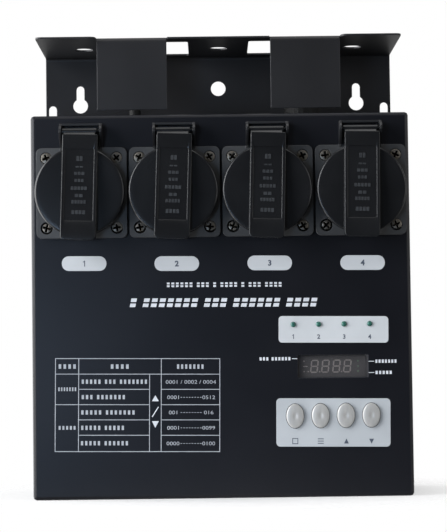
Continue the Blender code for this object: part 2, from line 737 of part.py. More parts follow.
def make_back_plate():
    """Rear plate, hanging flange and flaps, folded from one sheet, with the lips that hold the cover."""
    half = PLATE_HALF_WIDTH
    plate_top = FLANGE_TOP - BRACKET_FOLD
    bottom = PLATE_BOTTOM + FOLD_RADIUS
    outline = [(half, plate_top), (-half, plate_top)]
    outline += arc((-half + FOLD_RADIUS, bottom), FOLD_RADIUS, 180, 270, 3)
    outline += arc((half - FOLD_RADIUS, bottom), FOLD_RADIUS, 270, 360, 3)
    plate_y = REAR - PLATE_SHEET / 2
    plate = prism("back_plate", [outline, *plate_openings()], PLATE_SHEET, (0.0, plate_y, 0.0), "front")
    flange_z = FLANGE_TOP - PLATE_SHEET / 2
    flange = prism(
        "flange", [flange_outline(), *flange_openings()], PLATE_SHEET, (0.0, 0.0, flange_z), "up"
    )
    overlap = 2 * PLATE_SHEET
    fold_outline = folded_strip(
        (REAR, plate_top - overlap), (REAR, FLANGE_TOP), (REAR - BRACKET_FOLD - overlap, FLANGE_TOP),
        PLATE_SHEET, BRACKET_FOLD,
    )
    fold = prism("top_fold", [fold_outline], 2 * half, (0.0, 0.0, 0.0), "side")
    join(plate, fold, flange)
    flap_outline = folded_strip(
        (FLANGE_FRONT + BRACKET_FOLD + overlap, FLANGE_TOP), (FLANGE_FRONT, FLANGE_TOP),
        (FLANGE_FRONT, FLANGE_TOP - FLAP_DROP), PLATE_SHEET, BRACKET_FOLD,
    )
    for name, side in (("left_flap", -1), ("right_flap", 1)):
        half_relief = FLAP_WIDTH / 2 + CLEARANCE
        relief_end = FLANGE_FRONT + BRACKET_FOLD + CLEARANCE
        corner = (side * FLAP_OFFSET - half_relief, FLANGE_FRONT - PLATE_SHEET, FLANGE_TOP - BRACKET_FOLD)
        opposite = (side * FLAP_OFFSET + half_relief, relief_end, FLANGE_TOP + PLATE_SHEET)
        cut(plate, box(name + "_relief", corner, opposite))
        join(plate, prism(name, [flap_outline], FLAP_WIDTH, (side * FLAP_OFFSET, 0.0, 0.0), "side"))
        low = (min(side * (half - PLATE_SHEET), side * half), PLATE_FRONT - SIDE_LIP, SIDE_LIP_END)
        high = (max(side * (half - PLATE_SHEET), side * half), REAR, BOX_HEIGHT - SIDE_LIP_END)
        join(plate, box(name + "_lip", low, high))
    stud_end = PLATE_FRONT - POWER_BOARD_STANDOFF + CLEARANCE
    stud_start = PLATE_FRONT + BITE
    for i, (x, z) in enumerate(power_stud_places(), start=1):
        centre = (x, (stud_start + stud_end) / 2, z)
        join(plate, rod(f"power_stud_{i}", STUD_DIAMETER, stud_start - stud_end, centre, "front", 12))
    cut(plate, *side_screw_holes("plate", COVER_SCREW_SHANK + 2 * CLEARANCE))
    weld_corners(plate)
    return finish(plate, (0.020, 0.021, 0.024), 0.42, smooth_angle=25)


def make_cover_screws():
    """Pan-head screws through the sides of the cover into the rear plate's lips."""
    head = COVER_SCREW_HEAD / 2
    shank = COVER_SCREW_SHANK / 2
    edge = COVER_SCREW_HEAD_EDGE
    profile = dome(head, edge, COVER_SCREW_HEAD_HEIGHT - edge) + [
        (head, 0.0), (shank, 0.0), (shank, -COVER_SCREW_LENGTH), (0.0, -COVER_SCREW_LENGTH),
    ]
    screw = turned("cover_screw", profile, (0.0, 0.0, 0.0), "side", 12)
    y = PLATE_FRONT - SIDE_LIP / 2
    mesh = finished_mesh(screw, "cover_screw")
    number = 1
    for side in (-1, 1):
        for z in cover_screw_heights():
            obj = add_object(f"cover_screw_{number}", mesh, (side * (BOX_WIDTH / 2 + CLEARANCE), y, z))
            obj.rotation_euler = (0.0, 0.0, math.pi if side < 0 else 0.0)
            finish(obj, (0.08, 0.08, 0.085), 0.35, 0.9)
            number += 1


def socket_body_mesh():
    """Socket insert: square flange, round collar and plug recess, rear cup and hinge housing."""
    recess = RECESS_DIAMETER / 2
    collar = COLLAR_DIAMETER / 2
    cup = CUP_DIAMETER / 2
    floor = COLLAR_REACH - RECESS_DEPTH
    edge = COLLAR_EDGE
    middle = FLANGE_FACE / 2
    profile = [
        (0.0, floor), (recess, floor), (recess, COLLAR_REACH - edge), (recess + edge, COLLAR_REACH),
        (collar - edge, COLLAR_REACH), (collar, COLLAR_REACH - edge), (collar, middle),
        (cup, middle), (cup, -CUP_BACK), (0.0, -CUP_BACK),
    ]
    body = turned("socket_body", profile, (0.0, 0.0, 0.0), "front", 28)
    half = SOCKET_FLANGE / 2
    hole = over_corners(SOCKET_SCREW_SHANK + 2 * CLEARANCE, 8)
    holes = [ring(place, hole, 8) for place in socket_screw_offsets()]
    flange_outlines = [rounded_rectangle((-half, -half), (half, half), SOCKET_FLANGE_CORNER), *holes]
    flange_y = -(CLEARANCE + SOCKET_FLANGE_THICKNESS / 2)
    flange = prism("socket_flange", flange_outlines, SOCKET_FLANGE_THICKNESS, (0.0, flange_y, 0.0), "front")
    cut(flange, rod("flange_bore", CUP_DIAMETER - 2 * BITE, SOCKET_FLANGE, (0.0, 0.0, 0.0), "front", 16))
    for i, (x, z) in enumerate(socket_screw_offsets(), start=1):
        depth = SOCKET_SCREW_HEAD_HEIGHT + CLEARANCE
        centre = (x, -(FLANGE_FACE - depth / 2), z)
        wide = over_corners(COUNTERSINK, 12)
        cut(flange, rod(f"countersink_{i}", hole, depth, centre, "front", 12, tip=wide))
    join(body, as_solid(flange, "socket_flange_cut"), hinge_housing())
    for i, side in enumerate((-1, 1), start=1):
        rib_low, rib_high = sorted((side * (recess - GUIDE_RIB_HEIGHT), side * (recess + BITE)))
        half_rib = GUIDE_RIB_WIDTH / 2
        rib_front = -(COLLAR_REACH - GUIDE_RIB_SETBACK)
        join(body, box(f"rib_{i}", (rib_low, rib_front, -half_rib), (rib_high, -floor + BITE, half_rib)))
    for i, side in enumerate((-1, 1), start=1):
        x = side * PIN_SPACING / 2
        centre = (x, -floor + (PIN_HOLE_DEPTH - OVERRUN) / 2, 0.0)
        cut(body, drill(f"pin_hole_{i}", PIN_HOLE, PIN_HOLE_DEPTH + OVERRUN, centre, "front"))
        z = side * (CLIP_SPREAD / 2 - CLIP_THICKNESS / 2)
        half_x = CLIP_WIDTH / 2 + CLEARANCE
        half_z = CLIP_THICKNESS / 2 + CLEARANCE
        low = (-half_x, -floor - OVERRUN, z - half_z)
        cut(body, box(f"clip_slot_{i}", low, (half_x, CUP_BACK + OVERRUN, z + half_z)))
    pin = HINGE_PIN + 2 * CLEARANCE
    width = 2 * (EAR_INNER + EAR_THICKNESS + OVERRUN)
    cut(body, drill("ear_bore", pin, width, (0.0, -HINGE_REACH, HINGE_RISE), "side", 10))
    return finished_mesh(body, "socket_body")


def as_solid(obj, name):
    """An object's finished shape as a plain mesh object, its cutters removed."""
    mesh = finished_mesh(obj, name)
    return add_object(name, mesh, (0.0, 0.0, 0.0))


def hinge_housing():
    """Housing above the socket's flange: a side profile, hollowed to leave a base, a ledge and two ears."""
    outer = EAR_INNER + EAR_THICKNESS
    base_front = -(HOUSING_LIFT + HOUSING_BASE)
    ledge_bottom = LEDGE_TOP - LEDGE_THICKNESS
    outline = (
        [(-HOUSING_LIFT, LEDGE_TOP), (-LEDGE_REACH, LEDGE_TOP)]
        + arc((-HINGE_REACH, HINGE_RISE), EAR_RADIUS, 90, 225, 4)
        + [(base_front, EAR_FOOT), (-HOUSING_LIFT, EAR_FOOT)]
    )
    housing = prism("housing", [outline], 2 * outer, (0.0, 0.0, 0.0), "side")
    beyond = -(HINGE_REACH + EAR_RADIUS + OVERRUN)
    above = LEDGE_TOP + OVERRUN
    below = EAR_FOOT - OVERRUN
    hollow = [
        (base_front, below), (base_front, ledge_bottom), (-LEDGE_REACH, ledge_bottom),
        (-LEDGE_REACH, above), (beyond, above), (beyond, below),
    ]
    cut(housing, prism("housing_hollow", [hollow], 2 * EAR_INNER, (0.0, 0.0, 0.0), "side"))
    return as_solid(housing, "hinge_housing")


def socket_lid_mesh():
    """Flap lid: round cap with a short rim, a raised handle strip and the hinge barrel."""
    outer = LID_DIAMETER / 2
    rim = COLLAR_DIAMETER / 2 + LID_RIM_CLEARANCE
    back = LID_BACK - LID_RIM_OVERLAP
    edge = STRIP_EDGE
    rounding = arc((outer - LID_EDGE, LID_FRONT - LID_EDGE), LID_EDGE, 90, 0, 2)
    profile = [
        (0.0, LID_FRONT), *rounding, (outer, back), (rim, back), (rim, LID_BACK), (0.0, LID_BACK),
    ]
    lid = turned("socket_lid", profile, (0.0, 0.0, 0.0), "front", 36)
    root = LID_FRONT - edge
    strip_outline = [
        (-root, STRIP_TOP), (-STRIP_TOP_REACH, STRIP_TOP),
        (-STRIP_BOTTOM_REACH, -STRIP_BOTTOM + 2 * edge), (-STRIP_BOTTOM_REACH + edge, -STRIP_BOTTOM),
        (-root, -STRIP_BOTTOM),
    ]
    strip = prism("strip", [strip_outline], STRIP_WIDTH, (0.0, 0.0, 0.0), "side")
    soften = strip.modifiers.new("soften", "BEVEL")
    soften.width = edge / 2
    soften.segments = 1
    soften.limit_method = "ANGLE"
    slope = (STRIP_BOTTOM_REACH - STRIP_TOP_REACH) / (STRIP_TOP + STRIP_BOTTOM)
    top_face = STRIP_TOP_REACH + slope * (STRIP_TOP - POCKET_TOP)
    bottom_face = STRIP_TOP_REACH + slope * (STRIP_TOP + POCKET_BOTTOM)
    pocket_outline = [
        (-top_face + POCKET_DEPTH, POCKET_TOP), (-top_face - OVERRUN, POCKET_TOP),
        (-bottom_face - OVERRUN, -POCKET_BOTTOM), (-bottom_face + POCKET_DEPTH, -POCKET_BOTTOM),
    ]
    pocket = prism("pocket", [pocket_outline], POCKET_WIDTH, (0.0, 0.0, 0.0), "side")
    neck_width = STRIP_WIDTH - 2 * edge
    neck_outline = [
        (-root, rim), (-root, STRIP_TOP - edge),
        (-HINGE_REACH - HINGE_NECK / 2, HINGE_RISE), (-HINGE_REACH + HINGE_NECK / 2, HINGE_RISE),
        (-LID_BACK + HINGE_NECK / 2, outer), (-LID_BACK, rim),
    ]
    neck = prism("neck", [neck_outline], neck_width, (0.0, 0.0, 0.0), "side")
    hinge = (0.0, -HINGE_REACH, HINGE_RISE)
    barrel = rod("barrel", HINGE_BARREL, STRIP_WIDTH, hinge, "side", 16)
    join(lid, strip, neck, barrel)
    bore = drill("barrel_bore", HINGE_PIN + 2 * CLEARANCE, STRIP_WIDTH + 2 * OVERRUN, hinge, "side", 10)
    cut(lid, pocket, bore)
    return finished_mesh(lid, "socket_lid", hinge)


def earth_clip_mesh():
    """Brass strap whose two legs line the plug recess at top and bottom, joined behind the socket."""
    half = CLIP_SPREAD / 2
    tip = -(COLLAR_REACH - CLIP_SETBACK)
    rear = CUP_BACK + CLEARANCE
    inner = half - CLIP_THICKNESS
    outline = [
        (tip, half), (tip, inner), (rear, inner), (rear, -inner), (tip, -inner), (tip, -half),
        (rear + CLIP_THICKNESS, -half), (rear + CLIP_THICKNESS, half),
    ]
    clip = prism("earth_clip", [outline], CLIP_WIDTH, (0.0, 0.0, 0.0), "side")
    return finished_mesh(clip, "earth_clip")


def socket_screw_mesh():
    """Countersunk screw, its head level with the socket's flange."""
    head = SOCKET_SCREW_HEAD / 2
    shank = SOCKET_SCREW_SHANK / 2
    top = FLANGE_FACE
    profile = [
        (0.0, top), (head - CLEARANCE, top), (head, top - CLEARANCE), (shank, top - SOCKET_SCREW_HEAD_HEIGHT),
        (shank, top - SOCKET_SCREW_LENGTH), (0.0, top - SOCKET_SCREW_LENGTH),
    ]
    screw = turned("socket_screw", profile, (0.0, 0.0, 0.0), "front", 12)
    return finished_mesh(screw, "socket_screw")


def make_sockets():
    """The four mains sockets with their lids, hinge pins, earth clips and screws."""
    body = socket_body_mesh()
    lid = socket_lid_mesh()
    clip = earth_clip_mesh()
    screw = socket_screw_mesh()
    hinge = Vector((0.0, -HINGE_REACH, HINGE_RISE))
    pin_length = 2 * (EAR_INNER + EAR_THICKNESS)
    pin = finished_mesh(rod("hinge_pin", HINGE_PIN, pin_length, (0.0, 0.0, 0.0), "side", 12), "hinge_pin")
    centres = socket_centres()
    place_copies("socket_body", body, centres, (0.055, 0.055, 0.062), 0.5)
    place_copies("socket_lid", lid, [c + hinge for c in centres], (0.016, 0.018, 0.020), 0.38)
    place_copies("hinge_pin", pin, [c + hinge for c in centres], (0.45, 0.45, 0.46), 0.3, 1.0)
    place_copies("earth_clip", clip, centres, (0.60, 0.46, 0.22), 0.3, 1.0)
    screw_places = [c + Vector((x, 0.0, z)) for c in centres for x, z in socket_screw_offsets()]
    place_copies("socket_screw", screw, screw_places, (0.42, 0.38, 0.33), 0.35, 1.0)


def make_buttons():
    """Oval push buttons, each with a collar behind the panel and a stem into its switch."""
    radius = BUTTON_TALL / 2
    collar = radius + BUTTON_COLLAR_EDGE
    stem = BUTTON_STEM / 2
    collar_front = -(COVER_SHEET + CLEARANCE)
    collar_back = collar_front - BUTTON_COLLAR_THICKNESS
    stem_end = BUTTON_TRAVEL + CLEARANCE + SWITCH_TALL - SWITCH_BORE_DEPTH - BOARD_SETBACK
    rim = BUTTON_REACH - BUTTON_DOME
    profile = dome(radius, rim, BUTTON_DOME) + [
        (radius, collar_front), (collar, collar_front), (collar, collar_back),
        (stem, collar_back), (stem, stem_end), (0.0, stem_end),
    ]
    button = turned("button", profile, (0.0, 0.0, 0.0), "front", 24)
    mesh = finished_mesh(button, "button")
    mesh.transform(Matrix.Diagonal((BUTTON_WIDTH / BUTTON_TALL, 1.0, 1.0, 1.0)))
    place_copies("button", mesh, button_centres(), (0.47, 0.47, 0.47), 0.35, 0.6)


def make_lamps():
    """Round signal lamps with a foot behind the panel and two legs to the control board."""
    radius = LAMP_DIAMETER / 2
    foot = LAMP_FOOT / 2
    foot_front = -(COVER_SHEET + CLEARANCE)
    profile = dome(radius, LAMP_REACH - radius, radius) + [
        (radius, foot_front), (foot, foot_front), (foot, foot_front - LAMP_FOOT_THICKNESS),
        (radius, foot_front - LAMP_FOOT_THICKNESS), (radius, -LAMP_BODY), (0.0, -LAMP_BODY),
    ]
    lamp = turned("channel_lamp", profile, (0.0, 0.0, 0.0), "front", 10)
    for i, side in enumerate((-1, 1), start=1):
        x = side * radius / 2
        half = LAMP_LEG / 2
        low = (x - half, LAMP_BODY - BITE, -half)
        join(lamp, box(f"lamp_leg_{i}", low, (x + half, BOARD_SETBACK - CLEARANCE, half)))
    mesh = finished_mesh(lamp, "channel_lamp")
    place_copies("channel_lamp", mesh, lamp_centres(), (0.05, 0.20, 0.15), 0.25)


def make_display():
    """Display module on the control board and the clear window in front of it."""
    x = DISPLAY_X
    z = DISPLAY_HEIGHT_ON_PANEL
    half_w = DISPLAY_OPENING_WIDTH / 2 + WINDOW_OVERLAP
    half_h = DISPLAY_OPENING_TALL / 2 + WINDOW_OVERLAP
    window_front = PANEL_BACK + CLEARANCE
    window_back = window_front + WINDOW_THICKNESS
    low = (x - half_w, window_front, z - half_h)
    window = box("display_window", low, (x + half_w, window_back, z + half_h))
    finish(window, (0.10, 0.10, 0.10), 0.15)
    low = (x - MODULE_WIDTH / 2, window_back + CLEARANCE, z - MODULE_TALL / 2)
    high = (x + MODULE_WIDTH / 2, BOARD_FRONT - CLEARANCE, z + MODULE_TALL / 2)
    finish(box("display_module", low, high), (0.08, 0.08, 0.08), 0.4)


def make_control_board():
    """Control board with a switch behind each button and a processor on its rear."""
    x = BOARD_X
    low = (x - BOARD_WIDTH / 2, BOARD_FRONT, BOARD_HEIGHT - BOARD_TALL / 2)
    high = (x + BOARD_WIDTH / 2, BOARD_FRONT + BOARD_SHEET, BOARD_HEIGHT + BOARD_TALL / 2)
    board = box("control_board", low, high)
    half = SWITCH_SIZE / 2
    bore = BUTTON_STEM + 2 * CLEARANCE
    for i, centre in enumerate(button_centres(), start=1):
        low = (centre.x - half, BOARD_FRONT - SWITCH_TALL, centre.z - half)
        high = (centre.x + half, BOARD_FRONT + BOARD_SHEET / 2, centre.z + half)
        join(board, box(f"switch_{i}", low, high))
        mouth = (centre.x, BOARD_FRONT - SWITCH_TALL, centre.z)
        cut(board, rod(f"switch_bore_{i}", bore, 2 * SWITCH_BORE_DEPTH, mouth, "front", 12))
    chip = CHIP_SIZE / 2
    low = (x - chip, BOARD_FRONT + BOARD_SHEET / 2, BOARD_HEIGHT - chip)
    join(board, box("processor", low, (x + chip, BOARD_FRONT + BOARD_SHEET + CHIP_TALL, BOARD_HEIGHT + chip)))
    return finish(board, (0.02, 0.16, 0.07), 0.5)


def make_power_board():
    """Power board on the rear plate with a capacitor for each channel and a terminal row."""
    back = PLATE_FRONT - POWER_BOARD_STANDOFF
    front = back - BOARD_SHEET
    half_w = POWER_BOARD_WIDTH / 2
    half_h = POWER_BOARD_TALL / 2
    z = POWER_BOARD_HEIGHT
    board = box("power_board", (-half_w, front, z - half_h), (half_w, back, z + half_h))
    for i in range(SOCKET_COUNT):
        x = (i - (SOCKET_COUNT - 1) / 2) * CAPACITOR_PITCH
        low = (x - CAPACITOR_WIDTH / 2, front - CAPACITOR_DEPTH, z - CAPACITOR_TALL / 2)
        high = (x + CAPACITOR_WIDTH / 2, front + BOARD_SHEET / 2, z + CAPACITOR_TALL / 2)
        join(board, box(f"capacitor_{i + 1}", low, high))
    top = z + half_h - BOARD_MARGIN * 2
    low = (-TERMINAL_WIDTH / 2, front - TERMINAL_DEPTH, top - TERMINAL_TALL)
    join(board, box("terminal_row", low, (TERMINAL_WIDTH / 2, front + BOARD_SHEET / 2, top)))
    return finish(board, (0.02, 0.16, 0.07), 0.5)


def make_heatsink():
    """Aluminium heatsink on the rear plate, its fins running across the case."""
    rear = PLATE_FRONT - CLEARANCE
    root = rear - HEATSINK_BASE
    tip = rear - HEATSINK_DEPTH
    bottom = HEATSINK_HEIGHT - HEATSINK_TALL / 2
    pitch = (HEATSINK_TALL - FIN_THICKNESS) / (FIN_COUNT - 1)
    teeth = []
    for i in range(FIN_COUNT):
        z = bottom + i * pitch
        teeth += [(root, z), (tip, z), (tip, z + FIN_THICKNESS), (root, z + FIN_THICKNESS)]
    # The outer fins are level with the ends of the base, so their outer roots drop out.
    outline = [(rear, bottom), *teeth[1:-1], (rear, bottom + HEATSINK_TALL)]
    heatsink = prism("heatsink", [outline], HEATSINK_WIDTH, (0.0, 0.0, 0.0), "side")
    return finish(heatsink, (0.55, 0.56, 0.57), 0.4, 0.9)


def make_transformer():
    """Small mains transformer on the rear plate: laminated core with a wound bobbin through it."""
    rear = PLATE_FRONT - CLEARANCE
    z = TRANSFORMER_HEIGHT
    bobbin_half = BOBBIN_WIDTH / 2
    bobbin_low = (-bobbin_half, rear - BOBBIN_DEPTH, z - BOBBIN_TALL / 2)
    transformer = box("transformer", bobbin_low, (bobbin_half, rear, z + BOBBIN_TALL / 2))
    middle = rear - BOBBIN_DEPTH / 2
    core_half = TRANSFORMER_WIDTH / 2
    half_depth = TRANSFORMER_DEPTH / 2
    core_low = (-core_half, middle - half_depth, z - TRANSFORMER_TALL / 2)
    core_high = (core_half, middle + half_depth, z + TRANSFORMER_TALL / 2)
    join(transformer, box("core", core_low, core_high))
    return finish(transformer, (0.30, 0.28, 0.24), 0.5, 0.3)


def signal_flange(name):
    """Flange and fixing pegs of a signal socket, above the underside's sheet."""
    start = COVER_SHEET + CLEARANCE
    half_x = SIGNAL_FLANGE_WIDTH / 2
    half_y = SIGNAL_FLANGE_DEPTH / 2
    outline = rounded_rectangle((-half_x, -half_y), (half_x, half_y), SIGNAL_FLANGE_CORNER, 2)
    inside = ring((0.0, 0.0), (SIGNAL_CUP + SIGNAL_BARREL) / 2, 16)
    centre = (0.0, 0.0, start + SIGNAL_FLANGE_THICKNESS / 2)
    shapes = [prism(name + "_flange", [outline, inside], SIGNAL_FLANGE_THICKNESS, centre, "up")]
    top = start + SIGNAL_FLANGE_THICKNESS / 2
    for i, (x, y) in enumerate(signal_peg_offsets(), start=1):
        middle = (x, y, (CLEARANCE + top) / 2)
        shapes.append(rod(f"{name}_peg_{i}", SIGNAL_PEG, top - CLEARANCE, middle, "up", 8))
    return shapes


def signal_contacts():
    """The three contact places of a signal socket, as (x, y) from its centre."""
    radius = SIGNAL_PIN_CIRCLE / 2
    return [(-radius, 0.0), (radius, 0.0), (0.0, -radius)]


def make_signal_sockets():
    """Signal input with three pins in a cup, and signal output with three contact holes."""
    barrel = SIGNAL_BARREL / 2
    cup = SIGNAL_CUP / 2
    mouth = -CLEARANCE
    bottom = mouth - SIGNAL_BARREL_LENGTH
    floor = mouth - SIGNAL_CUP_DEPTH
    profile = [(0.0, floor), (cup, floor), (cup, mouth), (barrel, mouth), (barrel, bottom), (0.0, bottom)]
    places = signal_places()
    signal_in = turned("dmx_in_socket", profile, (0.0, 0.0, 0.0), "down", 24)
    join(signal_in, *signal_flange("signal_in"))
    for i, (x, y) in enumerate(signal_contacts(), start=1):
        length = SIGNAL_PIN_LENGTH + CLEARANCE
        centre = (x, y, -floor - SIGNAL_PIN_LENGTH / 2 + CLEARANCE / 2)
        join(signal_in, rod(f"signal_pin_{i}", SIGNAL_PIN, length, centre, "up", 8))
    obj = add_object("dmx_in_socket", finished_mesh(signal_in, "dmx_in_socket"), places[0])
    finish(obj, (0.02, 0.02, 0.02), 0.4)
    core = SIGNAL_CORE / 2
    groove = mouth - SIGNAL_GROOVE_DEPTH
    profile = [
        (0.0, mouth), (core, mouth), (core, groove), (cup, groove), (cup, mouth), (barrel, mouth),
        (barrel, bottom), (0.0, bottom),
    ]
    signal_out = turned("dmx_out_socket", profile, (0.0, 0.0, 0.0), "down", 24)
    join(signal_out, *signal_flange("signal_out"))
    for i, (x, y) in enumerate(signal_contacts(), start=1):
        centre = (x, y, -mouth)
        cut(signal_out, rod(f"contact_{i}", SIGNAL_CONTACT, 2 * SIGNAL_CONTACT_DEPTH, centre, "up", 8))
    obj = add_object("dmx_out_socket", finished_mesh(signal_out, "dmx_out_socket"), places[1])
    finish(obj, (0.02, 0.02, 0.02), 0.4)


def make_cable_gland():
    """Cable gland through the top wall, and the nut that holds it from inside."""
    place = (FLAP_OFFSET, TOP_FITTING_Y, BOX_HEIGHT)
    bore = GLAND_BORE / 2
    thread = GLAND_THREAD / 2
    cap = GLAND_DOME / 2
    hex_top = CLEARANCE + GLAND_HEX_THICKNESS
    top = hex_top + GLAND_DOME_HEIGHT
    bottom = -COVER_SHEET - GLAND_THREAD_LENGTH
    profile = [
        (bore, top), (GLAND_DOME_MOUTH / 2, top), (cap, top - GLAND_DOME_HEIGHT / 3),
        (cap, hex_top / 2), (thread, hex_top / 2), (thread, bottom), (bore, bottom),
    ]
    gland = turned("cable_gland", profile, place, "up", 24, closed=True)
    hex_centre = Vector(place) + Vector((0.0, 0.0, CLEARANCE + GLAND_HEX_THICKNESS / 2))
    outlines = [hexagon(GLAND_HEX), ring((0.0, 0.0), (GLAND_BORE + GLAND_THREAD) / 2)]
    join(gland, prism("gland_hex", outlines, GLAND_HEX_THICKNESS, hex_centre, "up"))
    finish(gland, (0.015, 0.015, 0.015), 0.5)
    nut_z = CEILING - CLEARANCE - GLAND_NUT_THICKNESS / 2
    outlines = [hexagon(GLAND_HEX), ring((0.0, 0.0), GLAND_THREAD + 2 * CLEARANCE)]
    nut = prism("gland_nut", outlines, GLAND_NUT_THICKNESS, (place[0], place[1], nut_z), "up")
    finish(nut, (0.015, 0.015, 0.015), 0.5)


def make_overload_cutout():
    """Overload cut-out under the top wall, with its neck, and the reset button that pops out of it."""
    x = -FLAP_OFFSET
    y = TOP_FITTING_Y
    roof = CEILING - CLEARANCE
    low = (x - CUTOUT_WIDTH / 2, y - CUTOUT_DEPTH / 2, roof - CUTOUT_TALL)
    body = box("breaker_body", low, (x + CUTOUT_WIDTH / 2, y + CUTOUT_DEPTH / 2, roof))
    neck_low = roof - BITE
    neck_top = BOX_HEIGHT + CUTOUT_NECK_RISE
    neck = rod("neck", CUTOUT_NECK, neck_top - neck_low, (x, y, (neck_low + neck_top) / 2), "up", 24)
    hex_z = BOX_HEIGHT + CLEARANCE + CUTOUT_HEX_THICKNESS / 2
    collar = prism("collar", [hexagon(CUTOUT_HEX)], CUTOUT_HEX_THICKNESS, (x, y, hex_z), "up")
    join(body, neck, collar)
    reset_top = neck_top + RESET_RISE
    reset_bottom = reset_top - RESET_LENGTH
    bore_bottom = reset_bottom - CLEARANCE
    bore_top = neck_top + OVERRUN
    bore = rod(
        "reset_bore", RESET_DIAMETER + 2 * CLEARANCE, bore_top - bore_bottom,
        (x, y, (bore_bottom + bore_top) / 2), "up", 20,
    )
    cut(body, bore)
    finish(body, (0.015, 0.015, 0.015), 0.5)
    radius = RESET_DIAMETER / 2
    profile = [
        (0.0, 0.0), (radius - RESET_EDGE, 0.0), (radius, -RESET_EDGE), (radius, -RESET_LENGTH),
        (0.0, -RESET_LENGTH),
    ]
    reset = turned("breaker_button", profile, (x, y, reset_top), "up", 20)
    finish(reset, (0.02, 0.02, 0.02), 0.4)


make_front_cover()
make_back_plate()
make_cover_screws()
make_sockets()
make_buttons()
make_lamps()
make_display()
make_control_board()
make_power_board()
make_heatsink()
make_transformer()
make_signal_sockets()
make_cable_gland()
make_overload_cutout()
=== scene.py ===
"""Four-channel dimmer pack for stage lighting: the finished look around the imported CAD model.

Lengths in the tables below are millimetres in the pack's own frame: X to the right, Y to the rear
and Z up. Print on the front panel is drawn in panel coordinates, (across, up, out of the panel).
The studio's lamps and floor are in metres.
"""

import bmesh
import bpy
import numpy as np
from mathutils import Matrix


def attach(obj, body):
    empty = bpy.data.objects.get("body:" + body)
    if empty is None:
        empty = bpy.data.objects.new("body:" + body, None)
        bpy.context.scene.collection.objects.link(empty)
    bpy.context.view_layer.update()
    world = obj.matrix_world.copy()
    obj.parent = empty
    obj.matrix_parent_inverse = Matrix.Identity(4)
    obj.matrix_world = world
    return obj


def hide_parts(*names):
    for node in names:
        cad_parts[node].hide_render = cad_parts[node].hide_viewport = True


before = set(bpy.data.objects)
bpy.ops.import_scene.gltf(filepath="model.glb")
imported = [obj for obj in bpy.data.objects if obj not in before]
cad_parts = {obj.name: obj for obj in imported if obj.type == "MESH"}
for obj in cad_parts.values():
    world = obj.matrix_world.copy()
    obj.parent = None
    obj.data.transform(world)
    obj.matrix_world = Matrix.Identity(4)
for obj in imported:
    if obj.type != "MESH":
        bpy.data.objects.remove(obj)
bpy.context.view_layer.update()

MM = 0.001
FULL_TURN = 2 * np.pi
# Edges that turn by more than this many degrees are drawn sharp.
SHARP_FROM = 32

# Case: its front face along Y, and half its width.
PANEL = -42.5
PACK_HALF_WIDTH = 103.0

# Sockets, measured from the panel's front face and from each socket's centre. The black hinge
# housing starts at HOUSING_UP, and a screw head is painted dark from SCREW_RECESS below the
# flange's face: painted shade in its cross recess.
SOCKET_X = (-75.2, -24.7, 25.8, 76.3)
SOCKET_Z = 166.0
FLANGE_OUT = 3.5
HOUSING_UP = 24.75
SCREW_OFFSET = 19.0
SCREW_RECESS = 0.35
LID_FRONT = 13.0
LID_BACK = 9.8
LID_RADIUS = 24.2
LID_BORE = 22.7
LID_EDGE = 1.2
STRIP_WIDTH = 18.9
STRIP_TOP = 30.8
STRIP_BOTTOM = -26.3
STRIP_TOP_OUT = 14.3
STRIP_BOTTOM_OUT = 19.5
STRIP_ROOT = 0.8
STRIP_EDGE = 0.35
STRIP_LOWER_CORNER = 2.2
STRIP_UPPER_CORNER = 0.9
POCKET_WIDTH = 15.8
POCKET_TOP = 22.9
POCKET_BOTTOM = -16.4
POCKET_DEPTH = 0.4
HINGE_OUT = 8.0
HINGE_UP = 32.9
HINGE_RADIUS = 1.9
HINGE_BORE = 1.2
BARREL_EASE = 0.25
NECK_INSET = 0.8

# Oval buttons with the joints round them, as half sizes, and signal lamps. The joints are
# black bands of painted shade in the gaps round the buttons.
BUTTON_X = (38.99, 52.76, 66.53, 80.3)
BUTTON_Z = 43.8
BUTTON_HALF = (4.75, 6.55)
JOINT_HALF = (4.78, 6.58)
JOINT_WIDTH = 0.25
JOINT_FACE = 0.1
LAMP_X = (38.61, 52.44, 66.27, 80.1)
LAMP_Z = 93.3
LAMP_RADIUS = 1.5
LAMP_LEG = 1.27

# Display behind its window: centre, digits, and the frame round them as half sizes.
DISPLAY_X = 59.85
DISPLAY_Z = 70.5
DIGIT_X = (50.0, 56.0, 62.0, 67.9)
POINT_X = (52.8, 64.7)
MODULE_FACE = -2.8
SEGMENT_ROOT = 0.05
SEGMENT_RISE = 0.06
SURROUND_OUTER = (20.4, 7.1)
SURROUND_INNER = (18.1, 5.9)
SURROUND_SPAN = 18.0
SURROUND_FOOT = -3.5
SURROUND_FACE = -2.85

# Cover screws in the side walls: places, height of the head, and its gap from the wall.
COVER_SCREW_Y = 35.5
COVER_SCREW_Z = (26.0, 182.7)
PAN_HEAD = 1.4
PAN_GAP = 0.3

# Print, as heights out of the panel: foot and face of strokes, face of strokes that cross others,
# label plates, and the marks on these. No two faces that overlap share a plane.
PRINT_FOOT = -0.05
PRINT_FACE = 0.06
CROSSING_FACE = 0.055
LABEL_FOOT = -0.1
LABEL_FACE = 0.08
LABEL_EDGE = 0.04
FIGURE_FACE = 0.12
FLAG_FACE = 0.115
MARK_LIFT = 0.06

